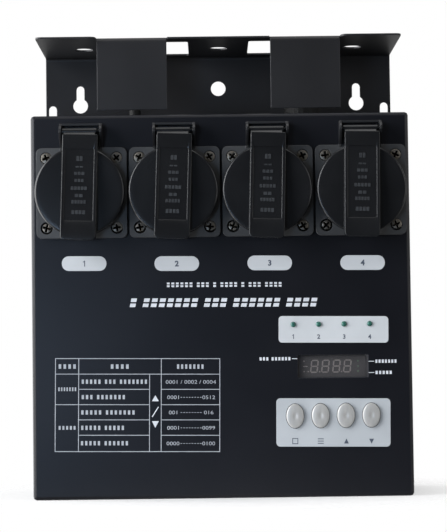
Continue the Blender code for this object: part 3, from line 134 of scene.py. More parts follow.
# Print, as places on the panel: channel plates, centres that the groups are turned about, and how
# many degrees each group is turned clockwise.
PILLS = ((-74.4, 127.8), (-24.1, 127.2), (26.4, 126.95), (76.9, 126.5))
PILL_HALF = (12.1, 4.0)
PILL_CORNER = 3.8
LAMP_PRINT = (60.5, 90.4)
BUTTON_PRINT = (59.7, 40.0)
TITLE_CENTRE = (1.0, 105.7)
CAPTION_CENTRE = (1.5, 115.4)
CALLOUT_CENTRE = (57.0, 70.5)
TABLE_CENTRE = (-46.2, 50.8)
PRINT_TURN = 0.75
PILL_TURN = 0.6
TITLE_TURN = 0.5
CAPTION_TURN = 0.45
CALLOUT_TURN = 0.3

# Printed table: stroke, edges, line under the headings, columns' left sides, and rows.
TABLE_LINE = 0.38
TABLE_LEFT = -90.7
TABLE_RIGHT = -1.7
TABLE_BOTTOM = 25.7
TABLE_TOP = 75.9
TABLE_HEAD = 67.5
WORD_COLUMN = -78.1
ARROW_COLUMN = -39.7
VALUE_COLUMN = -33.4
TABLE_ROWS = (59.3, 51.0, 42.8, 34.5)
GROUP_ROW = 51.0
VALUE_TALL = 2.0
VALUE_STRETCH = 1.25
LOW_VALUE_X = -27.0
HIGH_VALUE_X = -7.7


# Surfaces ---------------------------------------------------------------------------------------

def grid(points):
    """Quads over a (rows, columns) grid of points, its last column joined to the first."""
    rows, columns = points.shape[:2]
    left = np.arange(rows * columns).reshape(rows, columns)
    right = np.roll(left, -1, axis=1)
    quads = np.stack([left[:-1], right[:-1], right[1:], left[1:]], axis=-1).reshape(-1, 4)
    return points.reshape(-1, 3), quads


def stack(loops):
    """Skin through closed loops of equal length; each end loop shrinks to its mean point and shuts."""
    loops = np.asarray(loops, dtype=float)
    first = np.broadcast_to(loops[0].mean(axis=0), loops[0].shape)
    last = np.broadcast_to(loops[-1].mean(axis=0), loops[-1].shape)
    return grid(np.concatenate([first[None], loops, last[None]]))


def turned(profile, steps):
    """Solid of revolution: each (radius, height) of the profile swept round the out axis in steps."""
    profile = np.asarray(profile, dtype=float)
    angle = np.linspace(0, FULL_TURN, steps, endpoint=False)
    radius = profile[:, 0, None]
    height = np.broadcast_to(profile[:, 1, None], (len(profile), steps))
    return grid(np.stack([radius * np.cos(angle), radius * np.sin(angle), height], axis=-1))


def arc(centre, radius, start, end, steps=6):
    """Points of a circular arc between two angles in degrees, both ends included."""
    angle = np.radians(np.linspace(start, end, steps + 1))
    return np.stack([centre[0] + radius * np.cos(angle), centre[1] + radius * np.sin(angle)], axis=-1)


def rounded(left, right, bottom, top, lower, upper=None, steps=6):
    """Rectangle outline with quarter circles at its corners, of one radius below and one above."""
    upper = lower if upper is None else upper
    return np.concatenate([
        arc((right - upper, top - upper), upper, 0, 90, steps),
        arc((left + upper, top - upper), upper, 90, 180, steps),
        arc((left + lower, bottom + lower), lower, 180, 270, steps),
        arc((right - lower, bottom + lower), lower, 270, 360, steps),
    ])


def lifted(outline, out):
    """Outline raised to a height out of its plane; out is one number or one for each point."""
    return np.column_stack([outline, np.broadcast_to(out, len(outline))])


def plate(box, radius, foot, face, edge=0.05):
    """Flat plate between two heights, its corners rounded and its front edge eased by a bevel."""
    left, right, bottom, top = box
    full = rounded(left, right, bottom, top, radius)
    eased = rounded(left + edge, right - edge, bottom + edge, top - edge, max(radius - edge, 0.01))
    return stack([lifted(full, foot), lifted(full, face - edge), lifted(eased, face)])


def bar(start, end, width, face=PRINT_FACE):
    """Straight stroke of even width between two panel points, as a thin closed slab."""
    start = np.asarray(start, dtype=float)
    end = np.asarray(end, dtype=float)
    along = (end - start) / np.linalg.norm(end - start)
    aside = np.array([-along[1], along[0]]) * width / 2
    outline = np.array([start - aside, end - aside, end + aside, start + aside])
    return stack([lifted(outline, PRINT_FOOT), lifted(outline, face)])


def polygon(points, foot=PRINT_FOOT, face=PRINT_FACE):
    """Thin closed slab over a convex outline given by its corners."""
    outline = np.asarray(points, dtype=float)
    return stack([lifted(outline, foot), lifted(outline, face)])


def moved(surface, offset):
    """The surface shifted by an offset."""
    points, faces = surface
    return points + np.asarray(offset, dtype=float), faces


def spun(surface, degrees):
    """The surface turned about its out axis, counterclockwise as seen from the front."""
    points, faces = surface
    angle = np.radians(degrees)
    cosine, sine = np.cos(angle), np.sin(angle)
    turn = np.array([[cosine, sine, 0], [-sine, cosine, 0], [0, 0, 1]])
    return points @ turn, faces


def numerals(text, height, centre, face=PRINT_FACE, stretch=1.0, weight=0.0):
    """Plain figures as slabs: a filled text curve, scaled to a height and centred on a panel point.

    Stretch widens the figures, and weight thickens their strokes.
    """
    curve = bpy.data.curves.new("numerals", "FONT")
    curve.body = text
    curve.extrude = 0.5
    curve.offset = weight
    curve.resolution_u = 3
    holder = bpy.data.objects.new("numerals", curve)
    bpy.context.scene.collection.objects.link(holder)
    solid = holder.evaluated_get(bpy.context.evaluated_depsgraph_get()).to_mesh()
    points = np.empty(len(solid.vertices) * 3)
    solid.vertices.foreach_get("co", points)
    points = points.reshape(-1, 3)
    faces = [tuple(side.vertices) for side in solid.polygons]
    bpy.data.objects.remove(holder)
    bpy.data.curves.remove(curve)
    low, high = points.min(axis=0), points.max(axis=0)
    scale = height / (high[1] - low[1])
    flat = (points[:, :2] - (low[:2] + high[:2]) / 2) * scale * np.array([stretch, 1.0])
    out = np.where(points[:, 2] > 0, face, PRINT_FOOT)
    return np.column_stack([flat + np.asarray(centre), out]), faces


def askew(surface, centre, degrees):
    """The surface turned clockwise about a panel point, like print laid on a little crooked."""
    points, faces = surface
    centre = np.array([*centre, 0.0])
    points, faces = spun((points - centre, faces), -degrees)
    return points + centre, faces


def on_panel(surface):
    """Panel coordinates to the pack's frame: across is X, up is Z, and out of the panel is minus Y."""
    points, faces = surface
    return np.column_stack([points[:, 0], PANEL - points[:, 2], points[:, 1]]), faces


def piece(name, surfaces, finish, body="case", replaces=()):
    """One object from several surfaces: welded, turned outwards, smoothed and placed in metres."""
    points, faces, start = [], [], 0
    for part_points, part_faces in surfaces:
        points.append(part_points)
        faces.extend(tuple(int(v) + start for v in face) for face in part_faces)
        start += len(part_points)
    mesh = bpy.data.meshes.new(name)
    mesh.from_pydata(np.concatenate(points) * MM, [], faces)
    shape = bmesh.new()
    shape.from_mesh(mesh)
    bmesh.ops.remove_doubles(shape, verts=shape.verts, dist=1e-7)
    bmesh.ops.dissolve_degenerate(shape, dist=1e-8, edges=shape.edges)
    bmesh.ops.recalc_face_normals(shape, faces=shape.faces)
    shape.to_mesh(mesh)
    shape.free()
    mesh.shade_smooth()
    mesh.set_sharp_from_angle(angle=np.radians(SHARP_FROM))
    mesh.materials.append(finish)
    obj = bpy.data.objects.new(name, mesh)
    bpy.context.scene.collection.objects.link(obj)
    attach(obj, body)
    if replaces:
        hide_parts(*replaces)
    return obj


# Materials --------------------------------------------------------------------------------------

def linear(code):
    """A colour written as sRGB hex, in the linear values that the shaders take."""
    srgb = np.array([int(code[i:i + 2], 16) for i in (1, 3, 5)]) / 255
    value = np.where(srgb <= 0.04045, srgb / 12.92, ((srgb + 0.055) / 1.055) ** 2.4)
    return (*value.tolist(), 1.0)


def add(tree, kind, inputs=None, **settings):
    """Adds a node: settings are its properties, inputs its sockets, each a value or an output."""
    node = tree.nodes.new("ShaderNode" + kind)
    for key, value in settings.items():
        setattr(node, key, value)
    for key, value in (inputs or {}).items():
        if isinstance(value, bpy.types.NodeSocket):
            tree.links.new(value, node.inputs[key])
        else:
            node.inputs[key].default_value = value
    return node


def toned(tree, share, colour, tone):
    """The colour, giving way to a tone as the share goes from 0 to 1."""
    mix = add(tree, "Mix", {"Factor": share, "A": colour, "B": linear(tone)}, data_type="RGBA")
    return mix.outputs["Result"]


# Cloud values between which one tone gives way to the other, and the agreement of the eased and
# the true normal at which an edge starts to take the edge tone and at which it takes it fully;
# the edge tone is partly wear and partly a painted highlight.
TONE_RAMP = (0.35, 0.65)
WEAR_AND_SHEEN_START = 0.99
WEAR_AND_SHEEN_END = 0.85


def finish_of(name, tones, patch, grain, relief, rough, spread=0.05, edge=0.3, wear_and_sheen=None,
              stretch=None, above=None, **surface):
    """A surface finish worked out from real sizes in millimetres.

    Two tones drift over patches of the given size; the grain lifts the surface by relief;
    roughness wanders by spread; edges are eased over the edge radius, and where an edge tone is
    given they show it, partly as wear and partly as a painted highlight. Above gives a place in
    millimetres, the tone that takes over past it, and the axis of the object that the place is
    measured along; it serves a second moulded colour and painted shade deep in a recess.
    """
    made = bpy.data.materials.new(name)
    made.use_nodes = True
    tree = made.node_tree
    tree.nodes.clear()
    place = add(tree, "TexCoord").outputs["Object"]
    if stretch:
        place = add(tree, "Mapping", {"Vector": place, "Scale": stretch}).outputs["Vector"]
    cloud, fine = (
        add(tree, "TexNoise", {"Vector": place, "Scale": 1 / (size * MM), "Detail": detail}).outputs["Fac"]
        for size, detail in ((patch, 3.0), (grain, 2.0))
    )
    tone = add(tree, "ValToRGB", {"Fac": cloud})
    for stop, position, code in zip(tone.color_ramp.elements, TONE_RAMP, tones):
        stop.position = position
        stop.color = linear(code)
    colour = tone.outputs["Color"]
    # Past the place a second tone takes over: a second moulded colour, and on the screws painted shade deep
    # in the cross recess.
    if above:
        limit, far_tone, axis = above
        along = add(tree, "SeparateXYZ", {"Vector": place}).outputs[axis]
        past = add(tree, "Math", {0: along, 1: limit * MM}, operation="GREATER_THAN").outputs["Value"]
        colour = toned(tree, past, colour, far_tone)
    soft = add(tree, "Bevel", {"Radius": edge * MM}, samples=4).outputs["Normal"]
    # A lighter tone on the edges: partly wear, partly a painted highlight.
    if wear_and_sheen:
        true = add(tree, "NewGeometry").outputs["Normal"]
        facing = add(tree, "VectorMath", {0: soft, 1: true}, operation="DOT_PRODUCT").outputs["Value"]
        wear_and_sheen_share = add(tree, "MapRange", {"Value": facing, "From Min": WEAR_AND_SHEEN_START, "From Max": WEAR_AND_SHEEN_END})
        wear_and_sheen_mask = add(tree, "Math", {0: wear_and_sheen_share.outputs["Result"], 1: fine}, operation="MULTIPLY")
        colour = toned(tree, wear_and_sheen_mask.outputs["Value"], colour, wear_and_sheen)
    wander = add(tree, "MapRange", {"Value": cloud, "To Min": rough - spread, "To Max": rough + spread})
    lift = add(tree, "Bump", {"Height": fine, "Distance": relief * MM, "Strength": 1.0, "Normal": soft})
    shader = add(tree, "BsdfPrincipled", {
        "Base Color": colour, "Roughness": wander.outputs["Result"],
        "Normal": lift.outputs["Normal"], **surface,
    })
    add(tree, "OutputMaterial", {"Surface": shader.outputs["BSDF"]})
    return made


# After its two tones each finish gives the sizes of its patches and grain, the grain's relief, the
# roughness and, in most, how far that wanders.

# Powder-coated steel of the cover: blue-black and satin, with a fine orange peel about a
# millimetre across that breaks up reflections; its edges show a greyer tone, partly wear and
# partly a painted highlight.
COVER_COAT = finish_of("powder_coated_steel_cover", ("#101116", "#15161b"), 70, 1.1, 0.010, 0.34,
                       0.04, edge=0.9, wear_and_sheen="#3a3e48", **{"Specular IOR Level": 0.28})
# The same coat on the bracket and rear plate, painted a little lighter and more neutral than on
# the cover as painted light; its edges also take the greyer tone, partly wear and partly a
# painted highlight.
PLATE_COAT = finish_of("powder_coated_steel_plate", ("#19191b", "#212123"), 60, 1.1, 0.012, 0.42,
                       0.05, edge=0.7, wear_and_sheen="#4a4b50", **{"Specular IOR Level": 0.4})
# Glass-filled polyamide of the sockets: charcoal grey and dull, with a faint moulded texture; the
# hinge housing above the square plate is moulded in black.
SOCKET_PLASTIC = finish_of("moulded_grey_polyamide", ("#3b3c3d", "#434445"), 18, 0.45, 0.008, 0.42,
                           0.04, edge=0.5, above=(SOCKET_Z + HOUSING_UP, "#141518", "Z"),
                           **{"Specular IOR Level": 0.5})
# Moulded black thermoplastic of the flap lids: satin, near black with a blue cast.
LID_PLASTIC = finish_of("moulded_black_thermoplastic", ("#141517", "#191a1c"), 25, 0.5, 0.006, 0.22,
                        0.03, edge=0.25, **{"Specular IOR Level": 0.38})
# The same plastic on the raised bars in the lids' pockets, rubbed greyer by handling.
RUBBED_PLASTIC = finish_of("rubbed_black_thermoplastic", ("#27292c", "#2f3235"), 4, 0.5, 0.006, 0.42,
                           0.05, edge=0.1)
# Black nylon of the signal sockets: waxy and finely grained. The same black fills the gaps
# round the buttons, as painted shade.
NYLON_AND_GAP_SHADE = finish_of("black_nylon_and_gap_shade", ("#0c0c0d", "#121213"), 15, 0.4, 0.012, 0.5, 0.06, edge=0.3,
                        **{"Specular IOR Level": 0.35})
# Black rubber of the cable gland and the cut-out, painted deeper black and duller than the nylon:
# painted shade, where they sit in the shadow under the flaps.
SHADED_BLACK_RUBBER = finish_of("black_rubber_with_painted_shade", ("#070707", "#0b0b0b"), 10, 0.5, 0.015, 0.65, 0.06,
                        edge=0.3, **{"Specular IOR Level": 0.25})
# Nickel-plated steel of the socket screws: warm grey metal, with painted shade darkening the
# cross recess.
SCREW_NICKEL = finish_of("nickel_plated_steel", ("#7a756c", "#8f8980"), 6, 0.25, 0.004, 0.42, 0.06,
                         edge=0.12, above=(PANEL - FLANGE_OUT + SCREW_RECESS, "#120f0c", "Y"),
                         Metallic=1.0)
# Blackened steel of the cover screws: dark phosphate with an oily sheen.
BLACK_STEEL = finish_of("blackened_steel", ("#202124", "#2c2d30"), 3, 0.3, 0.010, 0.38, 0.08,
                        edge=0.15, Metallic=0.9)
# Blackened steel of the hinge pins: darker than the screws, with drawn lines.
PIN_STEEL = finish_of("blackened_pin_steel", ("#1c1d20", "#2a2b2e"), 4, 0.3, 0.006, 0.36, 0.06,
                      edge=0.1, Metallic=0.9)
# Rolled brass of the earth clips: yellow metal, slightly tarnished in patches.
CLIP_BRASS = finish_of("rolled_brass", ("#a8843c", "#c8a252"), 5, 0.3, 0.008, 0.34, 0.08,
                       edge=0.15, Metallic=1.0)
# Silver-painted plastic of the buttons: a soft metallic paint, brushed up and down.
BUTTON_SILVER = finish_of("silver_painted_plastic", ("#b6b6b4", "#c0bfbc"), 1.6, 0.35, 0.004, 0.38, 0.04,
                          edge=0.15, stretch=(1.0, 1.0, 0.2), Metallic=0.3)
# Tinted epoxy of the signal lamps: dull green when unlit, with a waxy gloss.
LAMP_EPOXY = finish_of("tinted_green_epoxy", ("#285a50", "#346b60"), 1.5, 0.5, 0.002, 0.22, 0.04,
                       edge=0.1, **{"Subsurface Weight": 0.15, "Coat Weight": 0.3})
# Paler epoxy over the lamp's chip, seen at the lamp's centre.
LAMP_CORE = finish_of("clouded_epoxy", ("#7fb0a0", "#93bcae"), 1.0, 0.5, 0.002, 0.25, 0.04, edge=0.1)
# Smoked acrylic of the display window: brownish grey, polished, seen through to the digits.
WINDOW_ACRYLIC = finish_of("smoked_acrylic", ("#3b3938", "#42403f"), 30, 3.0, 0.001, 0.12, 0.02,
                           edge=0.2, Alpha=0.20)
# Grey epoxy face of the display module behind the window.
MODULE_EPOXY = finish_of("grey_epoxy_face", ("#575659", "#5f5d60"), 12, 0.4, 0.004, 0.5, 0.05, edge=0.2)
# Milky diffusing resin of the unlit segments.
SEGMENT_RESIN = finish_of("milky_segment_resin", ("#a09a98", "#aca6a2"), 3, 0.5, 0.002, 0.45, 0.04, edge=0.1)
# The same resin tinted green, over the three status dots at the right.
STATUS_RESIN = finish_of("green_segment_resin", ("#65806a", "#738f76"), 2, 0.5, 0.002, 0.45, 0.04, edge=0.1)
# Screen-printed ink on the panel: cool white, matt, thin enough to take the coat's orange peel.
PANEL_INK = finish_of("white_screen_ink", ("#ccd0d6", "#dadee4"), 6, 1.1, 0.006, 0.6, 0.05, edge=0.03)
# The same ink drawn thin, for the table: it shows greyer.
TABLE_INK = finish_of("thin_screen_ink", ("#a6abb2", "#b4b9c0"), 6, 1.1, 0.006, 0.6, 0.05, edge=0.03)
# Pale grey-blue ink of the label plates.
LABEL_INK = finish_of("pale_label_ink", ("#c3c7ca", "#ccd0d3"), 30, 1.1, 0.006, 0.55, 0.05, edge=0.05)
# The same ink under the buttons, a shade deeper.
BUTTON_LABEL_INK = finish_of("deeper_label_ink", ("#b1b6ba", "#babfc3"), 30, 1.1, 0.006, 0.55, 0.05,
                             edge=0.05)
# Slate ink of the figures on the label plates.
FIGURE_INK = finish_of("slate_figure_ink", ("#424a59", "#4d5564"), 5, 1.1, 0.004, 0.6, 0.05, edge=0.03)
# Glass-epoxy board under green solder mask.
BOARD_MASK = finish_of("solder_mask_board", ("#164a2c", "#1d5a36"), 9, 0.8, 0.010, 0.38, 0.06, edge=0.2)
# Extruded aluminium of the heatsink: pale metal with lines drawn along the fins.
SINK_ALUMINIUM = finish_of("extruded_aluminium", ("#9b9da0", "#b2b4b6"), 3, 0.5, 0.012, 0.42, 0.08,
                           edge=0.3, stretch=(0.08, 1.0, 1.0), Metallic=1.0)
# Varnished laminations of the transformer: dark steel sheets under a brown gloss.
CORE_VARNISH = finish_of("varnished_laminations", ("#35322f", "#4a443d"), 3, 0.5, 0.030, 0.40, 0.08,
                         edge=0.3, stretch=(1.0, 0.1, 1.0), Metallic=0.5)


# Flap lids --------------------------------------------------------------------------------------

def strip_reach(up):
    """How far the handle strip's face stands out of the panel at a height above the socket's centre."""
    slope = (STRIP_BOTTOM_OUT - STRIP_TOP_OUT) / (STRIP_TOP - STRIP_BOTTOM)
    return STRIP_TOP_OUT + slope * (STRIP_TOP - up)


def strip_loop(inset, depth):
    """One loop round the strip: its outline drawn in by inset, at a depth below the sloping face."""
    half = STRIP_WIDTH / 2 - inset
    outline = rounded(-half, half, STRIP_BOTTOM + inset, STRIP_TOP - inset,
                      STRIP_LOWER_CORNER - inset, STRIP_UPPER_CORNER - inset)
    return lifted(outline, strip_reach(outline[:, 1]) - depth)


def pocket_loop(inset, depth):
    """One loop round the label pocket sunk in the strip's face."""
    half = POCKET_WIDTH / 2 - inset
    outline = rounded(-half, half, POCKET_BOTTOM + inset, POCKET_TOP - inset, 0.7 - inset / 2)
    return lifted(outline, strip_reach(outline[:, 1]) - depth)


def handle_strip():
    """Raised strip: loops from its root up to the rounded edge, over the face and down into the pocket."""
    root = strip_loop(0, 0)
    root[:, 2] = LID_FRONT - STRIP_ROOT
    turn = np.radians(np.linspace(0, 90, 6))
    rim = [strip_loop(STRIP_EDGE * (1 - np.cos(a)), STRIP_EDGE * (1 - np.sin(a))) for a in turn]
    sunk = [pocket_loop(0, 0), pocket_loop(0.12, 0.08), pocket_loop(0.2, POCKET_DEPTH)]
    return stack([root, *rim, *sunk])


def hinge_barrel():
    """Tube along X on the hinge axis: outer and bore radii carried along the barrel, its ends eased."""
    half = STRIP_WIDTH / 2
    eased = HINGE_RADIUS - BARREL_EASE
    profile = [
        (HINGE_BORE, -half), (eased, -half), (HINGE_RADIUS, BARREL_EASE - half),
        (HINGE_RADIUS, half - BARREL_EASE), (eased, half), (HINGE_BORE, half), (HINGE_BORE, -half),
    ]
    points, faces = turned(profile, 32)
    return np.column_stack([points[:, 2], HINGE_UP + points[:, 0], HINGE_OUT + points[:, 1]]), faces


def hinge_neck():
    """Web from the cap up to the barrel: a side outline carried across the strip's width."""
    half = STRIP_WIDTH / 2 - NECK_INSET
    root = LID_FRONT - STRIP_ROOT
    web = 1.1
    side = np.array([
        (root, LID_BORE), (root, STRIP_TOP - NECK_INSET), (HINGE_OUT + web, HINGE_UP),
        (HINGE_OUT - web, HINGE_UP), (LID_BACK - web, LID_RADIUS), (LID_BACK, LID_BORE),
    ])
    ease = 0.3
    across = np.array([-half, ease - half, half - ease, half])
    shrink = np.array([0.94, 1.0, 1.0, 0.94])[:, None, None]
    loops = side.mean(axis=0) + (side - side.mean(axis=0)) * shrink
    points = np.stack([np.broadcast_to(across[:, None], (4, 6)), loops[..., 1], loops[..., 0]], axis=-1)
    return stack(points)


def rating_bars():
    """Plain raised bars where a real lid carries moulded ratings: rows of short slabs in the pocket.

    Each row gives its height on the strip, its width and how tall its slabs are.
    """
    rows = ((17.5, 3.6, 2.6), (13.0, 4.4, 0.8), (9.4, 6.0, 1.7), (5.6, 5.2, 1.7), (1.4, 9.0, 1.9),
            (-2.6, 4.6, 1.7), (-6.0, 8.0, 1.9), (-11.6, 7.6, 2.2))
    pitch, gap, corner, root, rise = 1.6, 0.4, 0.18, 0.1, 0.18
    bars = []
    for up, width, tall in rows:
        count = max(int(width / pitch), 1)
        step = width / count
        for i in range(count):
            left = -width / 2 + i * step + gap / 2
            outline = rounded(left, left + step - gap, up - tall / 2, up + tall / 2, corner, steps=2)
            floor = strip_reach(outline[:, 1]) - POCKET_DEPTH
            bars.append(stack([lifted(outline, floor - root), lifted(outline, floor + rise)]))
    return bars


def lid_cap():
    """Round cap of the lid with a short rim and a rounded front edge, turned about the out axis."""
    return turned([
        (0, LID_FRONT), (LID_RADIUS - 3, LID_FRONT),
        *arc((LID_RADIUS - LID_EDGE, LID_FRONT - LID_EDGE), LID_EDGE, 90, 0, 8),
        (LID_RADIUS, LID_BACK - 1.4), (LID_RADIUS - 0.2, LID_BACK - 1.6), (LID_BORE, LID_BACK - 1.6),
        (LID_BORE, LID_BACK - 0.2), (LID_BORE - 0.2, LID_BACK), (0, LID_BACK),
    ], 96)


# How far each lid has slid along its hinge pin, and how many degrees its handle strip hangs askew.
LID_SLIP = (-0.6, -0.65, -0.5, -0.15)
LID_LEAN = (1.5, 2.0, 1.8, 1.2)
for number, (x, slip, lean) in enumerate(zip(SOCKET_X, LID_SLIP, LID_LEAN), start=1):
    place = (x + slip, SOCKET_Z, 0)
    leaning = [spun(part, -lean) for part in (handle_strip(), *rating_bars())]
    parts = (lid_cap(), hinge_neck(), hinge_barrel(), leaning[0])
    lid = [on_panel(moved(part, place)) for part in parts]
    piece(f"flap_lid_{number}", lid, LID_PLASTIC, f"lid_{number}",
          [f"socket_lid_{number}"])
    bars = [on_panel(moved(part, place)) for part in leaning[1:]]
    piece(f"rating_bars_{number}", bars, RUBBED_PLASTIC, f"lid_{number}")


# Screws -----------------------------------------------------------------------------------------

def cross_head(radius, rise, reach, depth, steps=72, rings=18):
    """Cross-slotted head: a shallow dome on a polar grid, sunk where either arm of the cross runs.

    The sink is deepest at the centre, fades out at the arms' ends, and has steep smooth sides.
    Half an arm's width, its side walls and its run-out are shares of the head's radius.
    """
    half_arm, wall, run_out, shallower = 0.20 * radius, 0.05 * radius, 0.22 * radius, 0.45
    angle = np.linspace(0, FULL_TURN, steps, endpoint=False)
    out = np.linspace(0, 1, rings)[:, None] ** 0.8 * radius
    across, up = out * np.cos(angle), out * np.sin(angle)
    arm = np.minimum(np.abs(across), np.abs(up))
    side = np.clip((half_arm - arm) / wall, 0, 1)
    fade = np.clip((reach - out) / run_out, 0, 1)
    height = rise * (1 - (out / radius) ** 2) - depth * side * fade * (1 - shallower * out / reach)
    return np.stack([across, up, np.broadcast_to(height, across.shape)], axis=-1)


def with_shank(head, profile):
    """A screw: its head, and below it each (radius, height) of the profile swept round in a ring."""
    angle = np.linspace(0, FULL_TURN, head.shape[1], endpoint=False)
    below = np.array(profile)
    rings = np.stack([
        below[:, :1] * np.cos(angle), below[:, :1] * np.sin(angle),
        np.broadcast_to(below[:, 1:], (len(below), len(angle))),
    ], axis=-1)
    return grid(np.concatenate([head, rings]))


def countersunk_screw():
    """Countersunk screw: the crossed head, a short cone below it and the shank."""
    return with_shank(cross_head(2.9, 0.32, 2.25, 1.5), [
        (2.9, -0.15), (1.5, -1.7), (1.5, -9.0), (1.2, -10.0), (0, -10.0),
    ])


def pan_screw():
    """Pan-head screw: a crossed head on a rounded rim, and the shank."""
    return with_shank(cross_head(2.1, 0.3, 1.7, 1.0), [
        (2.55, -0.1), (2.85, -0.4), (3.0, -0.8), (3.0, -1.35), (2.9, -PAN_HEAD),
        (1.4, -PAN_HEAD), (1.4, -7.4), (0, -7.4),
    ])


# How many degrees the cross of each socket screw is turned, and of each cover screw per number.
SCREW_TURNS = (18, 40, 75, 8, 62, 30, 12, 84, 50, 25, 70, 36, 5, 66, 44, 20)
PAN_TURN = 30
screw_places = [(x + side * SCREW_OFFSET, SOCKET_Z + level * SCREW_OFFSET)
                for x in SOCKET_X for level in (1, -1) for side in (-1, 1)]
for number, ((x, z), turn) in enumerate(zip(screw_places, SCREW_TURNS), start=1):
    screw = on_panel(moved(spun(countersunk_screw(), turn), (x, z, FLANGE_OUT - 0.1)))
    piece(f"countersunk_screw_{number}", [screw], SCREW_NICKEL, "case",
          [f"socket_screw_{number}"])

corners = [(side, z) for side in (-1, 1) for z in COVER_SCREW_Z]
for number, (side, z) in enumerate(corners, start=1):
    points, faces = spun(pan_screw(), PAN_TURN * number)
    reach = side * (PACK_HALF_WIDTH + PAN_GAP + PAN_HEAD + points[:, 2])
    sideways = np.column_stack([reach, COVER_SCREW_Y + points[:, 0], z + points[:, 1]])
    piece(f"pan_screw_{number}", [(sideways, faces)], BLACK_STEEL, "case",
          [f"cover_screw_{number}"])


# Buttons and lamps ------------------------------------------------------------------------------

def ellipses(wide, tall, out, steps=72):
    """Ellipse loops, each with its half width, its half height and its height out of the panel."""
    angle = np.linspace(0, FULL_TURN, steps, endpoint=False)
    height = np.broadcast_to(out[:, None], (len(out), steps))
    return np.stack([wide[:, None] * np.cos(angle), tall[:, None] * np.sin(angle), height], axis=-1)


def oval_button():
    """Oval cap: ellipse loops that rise steeply, round over and dip to a dimple in the middle."""
    share = np.array([1.0, 1.0, 0.985, 0.95, 0.90, 0.80, 0.65, 0.45, 0.28, 0.20, 0.12])
    out = np.array([-3.0, 1.15, 1.4, 1.58, 1.68, 1.77, 1.84, 1.88, 1.88, 1.80, 1.72])
    return stack(ellipses(BUTTON_HALF[0] * share, BUTTON_HALF[1] * share, out))


def oval_ring():
    """Flat oval band round a button, painted shade in its gap: ellipse loops out along its foot, over its
    face and back.
    """
    foot = -0.1
    grown = np.array([0, JOINT_WIDTH, JOINT_WIDTH, 0, 0])
    out = np.array([foot, foot, JOINT_FACE, JOINT_FACE, foot])
    return grid(ellipses(grown + JOINT_HALF[0], grown + JOINT_HALF[1], out))


for number, x in enumerate(BUTTON_X, start=1):
    stem = turned([(0, -2.9), (1.8, -2.9), (1.8, -8.0), (0, -8.0)], 32)
    button = [on_panel(moved(part, (x, BUTTON_Z, 0))) for part in (oval_button(), stem)]
    piece(f"oval_button_{number}", button, BUTTON_SILVER, f"key_{number}",
          [f"button_{number}"])

# Black bands in the gaps round the buttons: painted shade, where the gaps show dark.
rings = [on_panel(moved(oval_ring(), (x, BUTTON_Z, 0))) for x in BUTTON_X]
piece("button_gap_shade", rings, NYLON_AND_GAP_SHADE)

for number, x in enumerate(LAMP_X, start=1):
    dome = turned([
        *arc((0, 0.1), LAMP_RADIUS, 90, 0, 8) * np.array([1.0, 0.6]) + np.array([0, 0.4]),
        (LAMP_RADIUS, -4.0), (1.95, -4.0), (1.95, -5.0), (0, -5.0),
    ], 40)
    core = turned([(0, 1.04), (0.35, 1.03), (0.62, 0.97), (0.62, 0.6), (0, 0.6)], 24)
    leg = turned([(0, -5.0), (0.3, -5.0), (0.3, -11.0), (0, -11.0)], 12)
    legs = [moved(leg, (side * LAMP_LEG, 0, 0)) for side in (-1, 1)]
    lamp = [on_panel(moved(part, (x, LAMP_Z, 0))) for part in (dome, *legs)]
    piece(f"signal_lamp_{number}", lamp, LAMP_EPOXY, "case", [f"channel_lamp_{number}"])
    piece(f"lamp_core_{number}", [on_panel(moved(core, (x, LAMP_Z, 0)))], LAMP_CORE)


# Print on the panel -----------------------------------------------------------------------------

# Gap between two words in letters, and the gap across a split block as a share of its height.
WORD_GAP = 0.6
SPLIT_GAP = 0.09


def letter_blocks(left, right, bottom, top, words, slant=0.0, fill=0.62, split=True):
    """Bare blocks in place of a caption: one upright block a letter, wider gaps between words."""
    cells = sum(words) + (len(words) - 1) * WORD_GAP
    step = (right - left) / cells
    middle = (bottom + top) / 2
    gap = (top - bottom) * SPLIT_GAP
    levels = ((bottom, middle - gap), (middle + gap, top)) if split else ((bottom, top),)
    blocks = []
    start = left
    for letters in words:
        for i in range(letters):
            low = start + i * step + step * (1 - fill) / 2
            high = low + step * fill
            for under, over in levels:
                lean_under, lean_over = slant * (under - middle), slant * (over - middle)
                blocks.append(polygon([(low + lean_under, under), (high + lean_under, under),
                                       (high + lean_over, over), (low + lean_over, over)]))
        start += (letters + WORD_GAP) * step
    return blocks


def frame_lines(left, right, bottom, top, width):
    """Four strokes round a rectangle, overlapping at the corners."""
    return [
        bar((left - width / 2, bottom), (right + width / 2, bottom), width),
        bar((left - width / 2, top), (right + width / 2, top), width),
        bar((left, bottom), (left, top), width, face=CROSSING_FACE),
        bar((right, bottom), (right, top), width, face=CROSSING_FACE),
    ]


def label_plate(box, radius):
    """Pale plate printed on the panel under figures or marks."""
    return plate(box, radius, LABEL_FOOT, LABEL_FACE, LABEL_EDGE)


def print_on(name, surfaces, ink, centre, degrees=PRINT_TURN):
    """One print: its surfaces turned together about a centre and laid on the panel."""
    return piece(name, [on_panel(askew(surface, centre, degrees)) for surface in surfaces], ink)


def bold_figure(number, tall, centre, weight=0.04):
    """Bold figure: a filled text curve, and for the figure one an upright bar with a slanting flag."""
    if number > 1:
        return [numerals(str(number), tall, centre, face=FIGURE_FACE, weight=weight)]
    across, foot = centre[0] + 0.08 * tall, centre[1] - tall / 2
    upright = bar((across, foot), (across, foot + tall), 0.15 * tall, face=FIGURE_FACE)
    tip = (across - 0.28 * tall, foot + 0.72 * tall)
    flag = bar(tip, (across, foot + 0.92 * tall), 0.13 * tall, face=FLAG_FACE)
    return [upright, flag]


